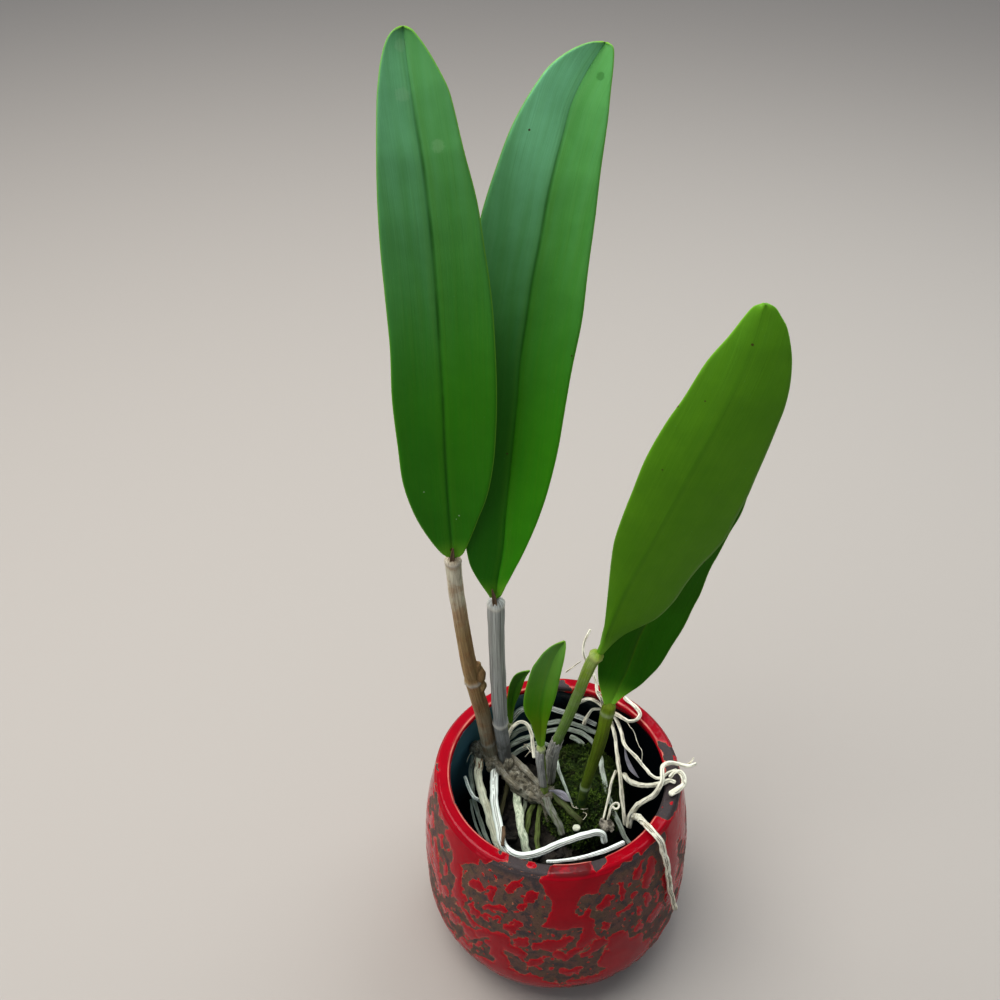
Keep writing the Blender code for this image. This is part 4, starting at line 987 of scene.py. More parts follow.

# How each leaf looks. Groove is how deep the midrib lies, in mm, sharp how straight its sides rise from it.
# Bloom is how grey each half is: a real waxy bloom together with painted sheen, the sky's reflection,
# strongest at the top. dark_low is how dark its foot, as painted shade, rib how dark its midrib, as painted
# shade in its groove, and a negative one is paler instead, in the leaf's own colour. Tint multiplies its
# greens, partly as the leaf's own colour and partly as painted light and shade, and a gain multiplies its
# bloom and painted sheen. The left share paints shadow over the lower left half. Spots are (across, down,
# radius, kind).
LEAF_LOOKS = {
    "leaf_1": PLAIN_LEAF | dict(groove=0.55, sharp=0.25, bloom_sheen_left=0.8, bloom_sheen_right=0.42, dark_low=0.25,
        rib=0.6, rows=130, spots=[(424, 493, 0.5, "pale"), (459, 515, 0.5, "pale"), (457, 520, 0.35, "pale"),
        (452, 549, 1.3, "dark"), (400, 45, 2.6, "bloom_sheen"), (402, 95, 3.2, "bloom_sheen"),
        (438, 145, 3.0, "bloom_sheen")]),
    "leaf_2": PLAIN_LEAF | dict(groove=0.35, sharp=0.9, bloom_sheen_left=1.0, bloom_sheen_right=0.3, dark_low=0.2,
        rib=0.5, rows=130, tint=(1.35, 1.3, 1.3), bloom_sheen_gain=1.5, painted_shadow_left=0.62, spots=[(530, 129, 0.5, "dark"),
        (507, 451, 0.6, "dark"), (573, 355, 0.5, "dark"), (600, 75, 2.0, "dim")]),
    "leaf_3": PLAIN_LEAF | dict(groove=-0.2, sharp=0.2, bloom_sheen_left=0.03, bloom_sheen_right=0.03, dark_low=0.1,
        rib=0.1, rows=120, tint=(1.32, 1.28, 1.45), spots=[(678, 404, 0.7, "dark"), (704, 562, 0.6, "dark"),
        (752, 345, 0.7, "dark"), (705, 402, 0.4, "dark"), (661, 470, 0.4, "dark")]),
    # Painted shadow: this leaf's dark tint stands for the shadow the third leaf casts on it.
    "leaf_4": PLAIN_LEAF | dict(groove=0.4, sharp=0.8, bloom_sheen_left=0.0, bloom_sheen_right=0.03, dark_low=0.2,
        rib=-0.7, rows=110, tint=(0.52, 0.46, 0.3)),
    "leaf_5": PLAIN_LEAF | dict(groove=0.2, sharp=0.4, bloom_sheen_left=0.2, bloom_sheen_right=0.12, dark_low=-0.75,
        rib=0.08, rows=70, tint=(2.0, 1.2, 1.4)),
    "leaf_6": PLAIN_LEAF | dict(groove=0.2, sharp=0.5, bloom_sheen_left=0.1, bloom_sheen_right=0.05, dark_low=-0.4,
        rib=0.2, rows=60, tint=(1.45, 1.0, 1.1)),
}


def leaf_shape(shape, look, columns):
    """A leaf's middle surface, half its thickness, and what its finish reads at each point."""
    rows = look["rows"]
    amounts = 0.5 - 0.5 * np.cos(math.pi * steps(rows))
    left, mid, right = [curve_through(shape[key], amounts) for key in ("left", "mid", "right")]
    backs = evenly(shape["back"], amounts)
    folds = evenly(shape["fold"], amounts)
    middle = seen_at_back(mid[:, 0], mid[:, 1], backs)
    outer = [seen_at_back(side[:, 0], side[:, 1], backs - folds) for side in (left, right)]
    even = np.linspace(-1, 1, columns + 1)
    asides = np.sign(even) * np.abs(even) ** 1.2
    narrow = np.minimum(1.0, (1 - amounts) / 0.004 + 0.04)
    grid = np.empty((rows + 1, columns + 1, 3))
    halves, rib, edge = np.empty((3, rows + 1, columns + 1))
    for j, aside in enumerate(asides):
        side = outer[0] if aside < 0 else outer[1]
        span = side - middle
        width = np.linalg.norm(span, axis=1)
        grid[:, j] = middle + span * abs(aside)
        bow = (abs(aside) ** (1 + 0.7 * (1 - look["sharp"])) - abs(aside)) * -folds * 1.3
        line = np.abs(aside) * width
        groove = look["groove"] * np.exp(-(line / 1.1) ** 2) * smoothstep(0.0, 0.04, amounts) * (1 - 0.5
                                                                                                 * amounts)
        grid[:, j, 1] += bow + groove
        rounded = math.sqrt(max(0.02, 1 - (max(0.0, abs(aside) - 0.95) / 0.05) ** 2))
        thick = LEAF_EDGE_THICKNESS + (LEAF_THICKNESS - LEAF_EDGE_THICKNESS) * (1 - aside**2) * np.sin(
            math.pi * (0.5 + 0.45 * amounts))
        halves[:, j] = thick / 2 * rounded * narrow
        rib[:, j] = aside * width
        edge[:, j] = (1 - abs(aside)) * width
    waves = rough_at(grid * (1.0, 1.0, 0.6), 34, rows * 0.1)
    fine = rough_at(grid, 9, 3.0)
    grid[..., 1] += (waves * 0.9 + fine * 0.12) * np.abs(asides)[None] ** 1.5 * np.sin(math.pi
                                                                                       * amounts)[:, None]
    blade = np.stack(np.broadcast_arrays(asides[None], amounts[:, None], np.ones_like(rib)), axis=-1)
    reach = np.stack(np.broadcast_arrays(rib, edge, distances(middle)[:, None]), axis=-1)
    return grid, halves, blade.reshape(-1, 3), reach.reshape(-1, 3)


def leaf_material(name, look, finish, marks):
    """A leathery leaf: green, a grey bloom with painted sheen, painted shade low down, a dark midrib line of
    painted shade, pale on one leaf, fine veins, a pale edge and a few marks.
    """
    made, net, shader = new_material(name + " skin", specular_ior_level=0.1)
    aside, along, side = net.parts(net.attribute("blade", "Vector"))
    rib, edge, reach = net.parts(net.attribute("reach", "Vector"))
    place = net.place()
    front = net.spread(side, -0.1, 0.1)
    drawn = net.join(net.times(rib, 0.9), net.times(reach, 0.018), side)
    veins = net.noise(drawn, 1.0, 4.0, 0.6)
    broad = net.noise(net.join(net.times(rib, 0.16), net.times(reach, 0.012), side),
                      1.0, 3.0, 0.55)
    blotches = net.patches(15.0, softness=0.28)
    colour = net.mix(net.spread(along, 0.15, 0.75), finish["lower"], finish["upper"])
    colour = net.mix(net.spread(veins, 0.36, 0.68), colour, finish["fresh"], 0.16)
    left = net.spread(aside, 0.06, -0.12)
    # Bloom and painted sheen: the sky's reflection painted grey-green, strongest at the top and on one half.
    bloom_sheen = net.spread(left, 0.0, 1.0, look["bloom_sheen_right"], look["bloom_sheen_left"])
    amount = net.times(bloom_sheen, net.spread(along, 0.25, 0.95, 0.05, 1.0))
    amount = net.times(amount, net.spread(broad, 0.2, 0.8, 0.65, 1.1))
    colour = net.mix(amount, colour, finish["bloom_sheen"], front)
    colour = net.mix(blotches, colour, finish["dark"], 0.16)
    # Painted shade over the leaf's foot where dark_low is above 0; below 0 it paints the leaf's real pale
    # band.
    dim = net.times(net.spread(along, 0.4, 0.05), abs(look["dark_low"]))
    colour = net.mix(dim, colour, finish["dark"] if look["dark_low"] > 0 else finish["fresh"])
    # Painted shadow of the leaf in front, over the lower part of the left half.
    shade = net.times(left, net.spread(along, 0.62, 0.3))
    colour = net.mix(shade, colour, finish["dark"], look["painted_shadow_left"])
    colour = net.mix(net.minus(1.0, front), colour, finish["under"])
    rib_width = net.size(rib)
    # Painted shade in the midrib's groove where rib is above 0; below 0 it paints the leaf's real pale
    # midrib.
    line = net.times(net.spread(rib_width, 0.3, 1.5, 1.0, 0.0), net.spread(along, 0.93, 0.7))
    line = net.times(line, net.spread(net.grain(0.05, 2.0), 0.3, 0.6, 0.55, 1.0))
    colour = net.mix(line, colour, finish["dark"] if look["rib"] > 0 else finish["fresh"], abs(look["rib"]))
    shoulder = net.times(net.spread(rib_width, 1.0, 1.8), net.spread(rib_width, 4.2, 2.0))
    colour = net.mix(shoulder, colour, finish["fresh"], 0.1)
    rim = net.spread(edge, 0.55, 0.1)
    colour = net.mix(rim, colour, finish["edge"], 0.6)
    base = net.spread(reach, 16.0, 0.5)
    colour = net.mix(base, colour, finish["edge"], 0.6)
    flecks = net.spread(net.grain(0.9, 3.0, 0.7), 0.66, 0.8)
    colour = net.mix(flecks, colour, finish["bloom_sheen"], 0.3)
    for centre, radius, kind in marks:
        mask = net.spot(centre, radius)
        tint, strength = MARKS[kind]
        colour = net.mix(mask, colour, finish[tint], strength)
    rough = net.spread(broad, 0.3, 0.7, finish["gloss"], finish["gloss"] + 0.12)
    rough = net.plus(rough, net.times(flecks, 0.2))
    pores = net.grain(3.2, 2.0, 0.6)
    net.coat(shader, colour, net.plus(veins, net.times(pores, 0.18)), 0.14, rough)
    return made


def make_leaves(look_up):
    """The six leaves, each a thick folded blade with its own midrib, edge and marks."""
    for name, shape in LEAVES.items():
        look = LEAF_LOOKS[name]
        small = look["rows"] < 100
        grid, halves, blade, reach = leaf_shape(shape, look, 20 if small else 44)
        points, faces = sheet_shape(grid, halves)
        blades = np.vstack((blade, blade * (1, 1, -1)))
        front = points[:len(points) // 2]
        places = seen_places(front)
        marks = []
        for across, down, radius, kind in look["spots"]:
            at = front[int(np.argmin(np.linalg.norm(places - (across, down), axis=1)))]
            marks.append((tuple(at * MM), radius, kind))
        made = leaf_material(name, look, look_up.leaf_finish(name), marks)
        new_piece(name + "_blade", points, faces, made, "leaf", [name],
                  {"blade": blades, "reach": np.vstack((reach, reach))})


def bark_look(name, base, stripes, patches, rough=0.7, grain=0.25, around=5.0, length=22.0, stripe=0.6,
              patch=0.5, patch_size=6.0, low=None, top=None, long=1.0, pale=(0.5, 0.47, 0.4)):
    """A dry skin: a base colour, streaks along it, patches, pale rings, and other colours at its ends."""
    made, net, shader = new_material(name, specular_ior_level=0.25)
    streaks = net.streaks(around, length, 0.14)
    fine = net.streaks(around * 3.2, length * 0.45, 0.2)
    blotches = net.patches(patch_size, softness=0.1, middle=0.52)
    along = net.over(net.parts(net.attribute("skin", "Vector"))[2], long)
    colour = base
    if low is not None:
        colour = net.mix(net.spread(along, 0.42, 0.12), colour, low)
    if top is not None:
        colour = net.mix(net.spread(along, 0.68, 0.96), colour, top)
    colour = net.mix(blotches, colour, patches, patch)
    colour = net.mix(streaks, colour, stripes, stripe)
    colour = net.mix(net.spread(fine, 0.55, 1.0), colour, tuple(c * 0.35 for c in stripes), 0.35)
    colour = net.mix(net.attribute("ring"), colour, pale, 0.75)
    height = net.plus(net.times(fine, 0.8), net.grain(1.4, 4.0, 0.65))
    net.coat(shader, colour, height, grain, net.spread(fine, 0.0, 1.0, rough - 0.08, rough + 0.1))
    return made


def root_look(name, groove, base, stain, mottle, size, lines, scorch, gaps):
    """A root's chalky skin: mottled, with broken dark grooves on the side in view, stained at its start."""
    made, net, shader = new_material(name + " root", specular_ior_level=0.2)
    front, aside, along = net.parts(net.attribute("skin", "Vector"))
    drawn = net.join(net.times(front, 1.3), net.times(aside, 1.3),
                     net.over(along, size))
    blotches = net.spread(net.noise(drawn, 1.0, 4.0, 0.62), 0.46, 0.6)
    colour = net.mix(blotches, base, stain, mottle)
    streaks = net.streaks(2.6, 7.0, 0.2)
    colour = net.mix(streaks, colour, stain, 0.22)
    dents = 0.0
    for shift in (-0.22, 0.28):
        drift = net.noise(net.join(shift, 0.0, net.times(along, 0.05)), 1.0, 1.0)
        middle = net.plus(net.times(net.minus(drift, 0.5), 0.9), shift)
        off = net.size(net.minus(aside, middle))
        breaks = net.noise(net.join(0.0, shift * 9, net.times(along, 0.16)), 1.0, 3.0)
        line = net.times(net.spread(off, 0.24, 0.06), net.spread(breaks, gaps, gaps + 0.12))
        line = net.times(line, net.spread(front, 0.1, 0.4))
        colour = net.mix(line, colour, groove, lines)
        dents = net.plus(line, dents)
    scorched = net.times(net.spread(along, 17.0, 9.0, 0.0, scorch),
                         net.spread(net.noise(drawn, 1.7, 3.0), 0.48, 0.6))
    colour = net.mix(scorched, colour, (0.22, 0.11, 0.05))
    specks = net.spread(net.grain(1.3, 3.0, 0.7), 0.64, 0.74)
    colour = net.mix(specks, colour, groove, 0.18)
    net.coat(shader, colour, net.minus(net.grain(0.42, 3.0, 0.5), dents), 0.26, 0.78)
    return made


def ring_relief(marks, width=1.2):
    """How far rings at these places along a bar stand out: each is (share of the length, height in mm)."""
    def relief(along, long):
        return sum(height * np.exp(-((along - share * long) / width) ** 2) for share, height in marks)
    return relief


# How each stem looks: its rings as (share of its length, how far it stands out in mm), its ribs in mm, how
# far the rings dip at the front, and the bumps on it as (across, down, half-widths, seed).
STEM_LOOKS = {
    "stem_1": dict(rings=[(0.03, 0.5), (0.115, 0.35), (0.4425, 0.6), (0.47, -0.3), (0.985, 0.4)], ribs=0.28,
        dip=0.4, bumps=[(480.4, 675, (2.8, 2.6, 6.4), 1), (481.8, 686, (2.4, 2.4, 4.4), 2),
        (491, 752, (4.5, 3.6, 5.0), 3), (477.6, 667, (2.0, 2.2, 4.2), 4)]),
    "stem_2": dict(rings=[(0.282, 0.6), (0.32, -0.25), (0.98, 0.35)], ribs=0.3, dip=1.7,
        bumps=[(504, 748, (3.7, 3.4, 4.4), 5)]),
    "stem_3": dict(rings=[(0.3, 0.5), (0.98, 0.6)], ribs=0.25, dip=0.3, bumps=[]),
    "stem_4": dict(rings=[(0.272, 0.45), (0.297, -0.2), (0.93, 0.3)], ribs=0.3, dip=0.5, bumps=[]),
    "stem_5": dict(rings=[(0.3, 0.4), (0.95, 0.3)], ribs=0.15, dip=0.0, bumps=[]),
    "stem_6": dict(rings=[(0.5, 0.3), (0.97, 0.3)], ribs=0.12, dip=0.0, bumps=[]),
}


def stem_line(name, spacing=1.15):
    """A stem's route and radii, read at even spacing."""
    across, down, back, radii = np.array(STEMS[name], float).T
    route = seen_at_back(across, down, back)
    amounts = steps(max(12, round(length_of(route) / spacing)))
    return curve_through(route, amounts), evenly(radii, amounts)


def make_stems(colours):
    """The six stems, ribbed and ringed, with the bumps of old nodes."""
    materials = colours.stem_materials()
    for number, (name, look) in enumerate(STEM_LOOKS.items()):
        line, radii = stem_line(name)
        rings = ring_relief(look["rings"])

        def relief(along, turns, out):
            ribs = skin_noise(along, turns, 2.6, 38, number) * look["ribs"]
            knots = skin_noise(along, turns, 1.0, 11, number + 20) * 0.18
            dipped = along[:, None] + look["dip"] * np.cos(turns)[None] * smoothstep(0, 6, along)[:, None]
            return ribs + knots + rings(dipped, along[-1])

        shape, faces, skin = bar_shape(line, radii, 32, relief)
        shapes = [(shape, faces, skin)]
        ring = np.clip(rings(skin[:, 2] + look["dip"] * skin[:, 0], skin[:, 2].max()) / 0.45, 0, 1)
        for across, down, size, seed in look["bumps"]:
            near = line[int(np.argmin(np.linalg.norm(seen_places(line) - (across, down), axis=1)))]
            shapes.append(lump_shape(seen_at_back(across, down, near[1] - 0.6), size, 0.14, 2.0, seed))
            shapes[-1][2][:, 2] += near[2] - line[0][2]
            ring = np.concatenate((ring, np.zeros(len(shapes[-1][0]))))
        shape, faces, skin = join_shapes(shapes)
        slot = "old_stem" if name in ("stem_1", "stem_2") else "green_stem"
        new_piece(name + "_skin", shape, faces, materials[name], slot, [name], {"skin": skin, "ring": ring})


# The rhizome's knobs as (across, down, height, half-widths, seed), and its ribs as routes with a radius.
KNOBS = [
    (478, 748, 94.2, (3.4, 3.2, 3.6), 3), (481, 754, 92, (3.2, 2.8, 2.6), 14),
    (491, 763, 91.5, (3.6, 3.0, 3.8), 5), (490, 768, 89, (2.6, 2.4, 2.2), 15),
    (508, 764, 93, (3.1, 3.0, 4.2), 4), (501, 770, 89, (3.0, 2.8, 2.8), 8),
    (514, 776, 89.5, (2.8, 2.6, 2.4), 16), (521, 781, 89, (2.6, 2.4, 2.4), 9),
    (528, 787, 88.5, (3.0, 2.6, 2.6), 6), (536, 789, 89, (2.6, 2.4, 2.4), 7),
    (542, 793, 89, (3.2, 2.6, 2.8), 17), (541, 781, 90.5, (2.7, 2.7, 1.3), 10),
    (548, 797, 88.5, (3.0, 2.6, 2.8), 11), (545, 803, 86, (2.4, 2.2, 2.6), 12),
    (551, 791, 90, (2.6, 2.4, 2.2), 18), (516, 768, 90.5, (2.4, 2.2, 2.0), 19),
    (524, 774, 90.5, (2.2, 2.2, 1.8), 20),
]
RIBS = [
    ([(511, 757, 92.5), (519, 764, 92.6), (527, 772, 92.4), (535, 780, 91.6), (540, 786, 90.6)], 2.1),
    ([(497, 763, 92), (505, 775, 90.6), (512, 783, 89.6), (519, 789, 88.2)], 2.0),
    ([(538, 786, 91), (540, 794, 90), (546, 802, 87)], 1.2),
    ([(519, 776, 91), (527, 783, 90.4), (536, 795, 88)], 1.2),
    ([(486, 744, 97), (493, 754, 95), (497, 765, 92)], 2.2),
    ([(524, 785, 90.4), (526, 796, 86)], 0.9),
    ([(479, 742, 97), (485, 752, 95), (489, 764, 92)], 2.0),
    ([(543, 800, 87), (545.5, 811, 82.5), (548, 821, 78)], 1.3),
]


def make_rhizome(colours):
    """The rhizome, with its ring scars, knobs, ribs and resting bud."""
    across, down, height, radii = np.array(RHIZOME, float).T
    amounts = steps(110)
    line = curve_through(seen_at_height(across, down, height), amounts)
    scars = ring_relief([(0.02 + 0.06 * k, 0.7 if k % 2 else 0.4) for k in range(17)], 0.7)

    def relief(along, turns, out):
        knobs = skin_noise(along, turns, 1.5, 5.0, 31) * 1.0
        ribs = skin_noise(along, turns, 5.0, 7, 33) * 0.4
        return knobs + ribs + scars(along, along[-1])[:, None] - 0.8

    shapes = [bar_shape(line, evenly(radii, amounts), 40, relief)]
    for number, (places, radius) in enumerate(RIBS):
        amounts = steps(30)
        rib = curve_through(route_seen(places), amounts)

        def rib_relief(along, turns, out):
            return skin_noise(along, turns, 1.6, 3.5, number + 90) * 0.22 * radius

        shapes.append(bar_shape(rib, radius * (1 - 0.25 * amounts), 20, rib_relief))
    for across, down, height, size, seed in KNOBS:
        shapes.append(lump_shape(seen_at_height(across, down, height), size, 0.2, 2.0, seed, 16, 24))
    skin_piece("rhizome_bark", shapes, colours.rhizome_material(), "rhizome", ["rhizome"])


# The finest roots: each a route of (across, down, height) and a radius.
FINE_ROOTS = [
    ([(523, 748, 92), (526, 744.5, 93), (531, 747, 93), (529, 752, 92)], 0.3),
    ([(525, 757, 91), (530, 751.5, 92.5), (537, 748, 92.5)], 0.3),
    ([(576, 806, 90.6), (582, 809.5, 91), (588, 808.5, 90)], 0.32),
    ([(583, 812, 90.4), (586.5, 815, 90.6), (583, 820, 90)], 0.26),
    ([(571, 803, 90.6), (575, 808, 91), (583, 809, 90.4)], 0.3),
    ([(686, 765.5, 126.4), (691, 762, 126.2), (694, 757.5, 126.6)], 0.75),
    ([(625, 720, 118), (633, 730, 119.5), (637, 742, 119), (642, 752, 119.5), (641, 765, 117)], 0.28),
    ([(524, 744, 92), (529, 749, 92.5), (534, 756, 92)], 0.3),
    ([(566, 672, 132), (573, 667, 134), (581, 661, 138)], 0.5),
    ([(597, 691, 126.4), (606, 696, 125.8), (614, 698, 125.4)], 0.5),
    ([(678, 772, 126.5), (682, 778, 127.5), (685, 783, 127.2)], 0.7),
    ([(472, 752, 94), (469, 756, 92), (467, 762, 89)], 0.35),
    ([(476, 754, 93), (474, 760, 90), (471, 766, 86)], 0.3),
]

# Which roots take the green finish.
GREEN_ROOTS = ("root_green", "root_grey_green", "root_left_deep", "root_left_fine", "root_moss_edge",
               "root_olive_left", "root_olive_mid", "root_brown", "root_back_second", "root_back_third",
               "root_back_fourth", "root_back_right", "root_over_moss")


def make_roots(colours):
    """The roots: chalky, slightly flattened and knobbly bars with a groove here and there."""
    materials = colours.root_materials()
    for number, (name, (places, first, last, look)) in enumerate(ROOTS.items()):
        route = route_seen(places)
        amounts = steps(max(16, round(length_of(route) / 0.9)))
        line = curve_through(route, amounts)
        radii = evenly([first, last], amounts)
        thick = (first + last) / 2
        lumps = 0.45 if look == "white" else 1.0
        wander = rough_at(line, 7.0, number) * 0.22 * thick * lumps
        line = line + np.column_stack((wander, rough_at(line, 8.0, number + 50) * 0.15 * thick * lumps,
                                       wander * 0.3))

        def relief(along, turns, out):
            swell = skin_noise(along, [0.0], 0.0, 9.0, number)[:, :1] * 0.13 * thick * lumps
            knobs = skin_noise(along, turns, 1.2, 4.0, number + 60) * 0.14 * thick * lumps
            flat = -0.14 * thick * np.abs(out[..., 2])
            crease = -0.12 * thick * np.exp(-((np.sin(turns) - 0.05) / 0.2) ** 2)[None] * (np.cos(turns) > 0)
            return swell + knobs + flat + crease * (0.5 + 0.5 * skin_noise(along, [1.0], 1.0, 14.0,
                                                                           number + 80)[:, :1])

        bar = bar_shape(line, radii, 38 if first > 1.7 else 24, relief)
        slot = "rhizome" if name == "root_stub" else "green_root" if name in GREEN_ROOTS else "white_root"
        skin_piece(name + "_skin", [bar], materials[look], slot, [name])
    shapes = []
    for number, (places, radius) in enumerate(FINE_ROOTS):
        amounts = steps(26)
        line = curve_through(route_seen(places), amounts)
        line = line + rough_at(line, 4.0, number + 5)[:, None] * 0.25
        shapes.append(bar_shape(line, radius * (1 - 0.45 * amounts), 8))
    skin_piece("fine_roots", shapes, materials["parched"], "white_root", ())


def moss_mound_shape():
    """The moss cushion's own surface: a low uneven dome."""
    base = MIX_TOP + 0.3
    sides = 96
    turns = np.linspace(0, 2 * math.pi, sides, endpoint=False)
    points = np.array([np.column_stack((MOSS_CENTRE[0] + MOSS_RADII[0] * radius * np.cos(turns),
                                        MOSS_CENTRE[1] + MOSS_RADII[1] * radius * np.sin(turns),
                                        np.full(sides, base + MOSS_HEIGHT * rise)))
                       for radius, rise in evenly_along(MOSS_DOME, 34)])
    out = unit(points - np.array((*MOSS_CENTRE, base)))
    bumps = rough_at(points, 6.5, 21) * 0.8 + rough_at(points, 2.2, 22) * 0.3
    rows = len(points)
    faces = ring_faces(rows, sides)
    faces.append(tuple(range(sides)))
    faces.append(tuple((rows - 1) * sides + k for k in reversed(range(sides))))
    return points + out * (bumps[..., None] - 0.9), out, faces


def leaflets_on(roots, ways, rng, tall, leaves, size):
    """Moss shoots at these places: each a rising spiral of small pointed leaflets."""
    count = len(roots)
    points, faces, shades = [], [], []
    phase = rng.random(count) * 2 * math.pi
    height = tall * (0.55 + 0.9 * rng.random(count))
    ways = unit(ways + rng.normal(0, 0.28, (count, 3)))
    side = unit(np.cross(ways, (0.31, 0.87, 0.39)))
    other = np.cross(ways, side)
    shade = rng.random(count)
    for k in range(leaves):
        rise = (k + 0.6) / leaves
        turn = phase + k * 2.4
        outward = side * np.cos(turn)[:, None] + other * np.sin(turn)[:, None]
        sideways = np.cross(ways, outward)
        foot = roots + ways * (height * rise)[:, None]
        long = size * (1.0 - 0.35 * rise) * (0.8 + 0.4 * rng.random(count))
        wide = long * 0.30
        middle = foot + outward * (long * 0.5)[:, None] + ways * (long * 0.22)[:, None]
        tip = foot + outward * long[:, None] + ways * (long * (0.55 + 0.5 * rise))[:, None]
        start = len(points) * 4 * count
        block = np.stack((foot, middle - sideways * wide[:, None], tip, middle + sideways * wide[:, None]),
                         axis=1)
        points.append(block.reshape(-1, 3))
        corners = start + np.arange(count) * 4
        faces += [(a, a + 1, a + 2, a + 3) for a in corners.tolist()]
        shades.append(np.repeat(0.35 * shade + 0.65 * rise, 4))
    return np.vstack(points), faces, np.concatenate(shades)


def moss_material(look):
    """Living moss: bright tips over dark green, the dark partly painted shade deep among the shoots, brown in
    places.
    """
    made, net, shader = new_material("moss", roughness=0.62, specular_ior_level=0.25)
    shade = net.attribute("shade")
    # Darker down each shoot and on the cushion: partly the moss's own colour, partly painted shade among the
    # shoots.
    colour = net.mix(net.spread(shade, 0.42, 0.95), look.moss_dark, look.moss)
    tufts = net.patches(9.0, middle=0.47, softness=0.12)
    colour = net.mix(tufts, colour, look.moss_dark, 0.7)
    dead = net.patches(4.0, middle=0.56, softness=0.05, shift=0.7)
    colour = net.mix(dead, colour, look.moss_brown, 0.6)
    net.coat(shader, colour, net.grain(1.5, 3.0), 0.3)
    return made


def make_moss(look):
    """The moss: an uneven cushion thick with small leafy shoots."""
    rng = np.random.default_rng(11)
    points, out, faces = moss_mound_shape()
    rows, sides = points.shape[:2]
    flat, ways = points.reshape(-1, 3), out.reshape(-1, 3)
    weight = np.repeat(evenly([0.15, 0.6, 0.9, 1, 1, 0.8, 0.3], np.linspace(0, 1, rows)), sides)
    picked = rng.choice(len(flat), look.shoots, p=weight / weight.sum())
    roots = flat[picked] + rng.normal(0, 0.55, (look.shoots, 3)) * (1, 1, 0.3)
    shoots, shoot_faces, shades = leaflets_on(roots, unit(ways[picked] * (1, 1, 1.2)), rng, 2.1, 9, 1.15)
    faces += [tuple(c + len(flat) for c in face) for face in shoot_faces]
    shade = np.concatenate((np.full(len(flat), 0.05), shades))
    new_piece("moss_cushion", np.vstack((flat, shoots)), faces, moss_material(look), "moss", ["moss_mound"],
              {"shade": shade})


def bark_material(name, first, second, dust):
    """Rough bark: dark and light flakes with dusty edges."""
    made, net, shader = new_material(name, roughness=0.85)
    flakes = net.patches(4.0, softness=0.16)
    dusty = net.patches(1.6, middle=0.62, softness=0.08, shift=0.3)
    colour = net.mix(flakes, first, second)
    colour = net.mix(dusty, colour, dust, 0.5)
    net.coat(shader, colour, net.grain(0.9, 5.0, 0.7), 0.6)
    return made


def chunk_shape(centre, size, turn, seed):
    """A flat broken piece of bark with knocked corners."""
    shape, faces, skin = lump_shape((0, 0, 0), (1, 1, 1), 0.0, rows=6, sides=8)
    square = np.sign(shape) * np.abs(shape) ** 0.55
    square = square * (1 + 0.16 * rough_at(shape * 1.4, 1.0, seed))[:, None] * np.asarray(size)
    turned = Matrix.Rotation(turn[0], 3, "Z") @ Matrix.Rotation(turn[1], 3, "X") @ Matrix.Rotation(turn[2], 3,
                                                                                                   "Y")
    return square @ np.array(turned).T + centre, faces, skin


def mix_body():
    """The uneven body of the potting mix, under the loose bark on it."""
    base = FLOOR_THICKNESS + 0.3
    sides = 80
    outline = [(0.02, base), (MIX_FOOT_RADIUS, base), (MIX_RADIUS * 0.82, 20), (MIX_RADIUS * 0.97, 40),
               (MIX_RADIUS, 58), (MIX_RADIUS * 0.95, 67), (MIX_RADIUS * 0.84, MIX_TOP - 0.6),
               (MIX_RADIUS * 0.5, MIX_TOP - 0.4), (0.02, MIX_TOP - 0.4)]
    profile = evenly_along(outline, 60)
    turns = np.linspace(0, 2 * math.pi, sides, endpoint=False)
    points = np.array([(MIX_CENTRE[0] + radius * math.cos(t), MIX_CENTRE[1] + radius * math.sin(t), height)
                       for radius, height in profile for t in turns])
    uneven = rough_at(points, 7, 41) * 0.9 + rough_at(points, 2.5, 42) * 0.5 - 1.2
    above_foot = points[:, 2] > base + 1
    body = points + unit(points - (*MIX_CENTRE, 40.0)) * (uneven * above_foot)[:, None]
    return body, ring_faces(len(profile), sides), np.zeros((len(body), 3))


def scattered_bark(count):
    """Broken pieces of bark over the top and the sides of the mix."""
    rng = random.Random(5)
    chunks = []
    for _ in range(count):
        turn = rng.random() * 2 * math.pi
        if rng.random() < 0.5:
            radius = MIX_RADIUS * 0.9 * math.sqrt(rng.random())
            height = MIX_TOP - 1.4
        else:
            height = 30 + 38 * rng.random()
            radius = np.interp(height, [20, 40, 58, 67, 72], [31, 36.8, 38, 36, 32]) - 1.6
        centre = (MIX_CENTRE[0] + radius * math.cos(turn), MIX_CENTRE[1] + radius * math.sin(turn), height)
        size = (rng.uniform(2.2, 4.6), rng.uniform(1.6, 3.2), rng.uniform(0.8, 1.6))
        tilt = (rng.uniform(0, 6.28), rng.gauss(0, 0.35), rng.gauss(0, 0.35))
        chunks.append(chunk_shape(centre, size, tilt, rng.random() * 50))
    return chunks


# The loose chip's pieces: each its middle as (across, down, height), half-widths, turns and seed.
CHIP = [((607, 826, 85.6), (4.4, 3.2, 2.0), (0.5, 0.2, 0.1), 3),
        ((602, 822, 87.0), (2.2, 1.6, 1.0), (1.2, 0.5, 0.2), 8),
        ((611, 829, 86.6), (2.0, 1.4, 0.9), (2.2, -0.4, 0.2), 12)]


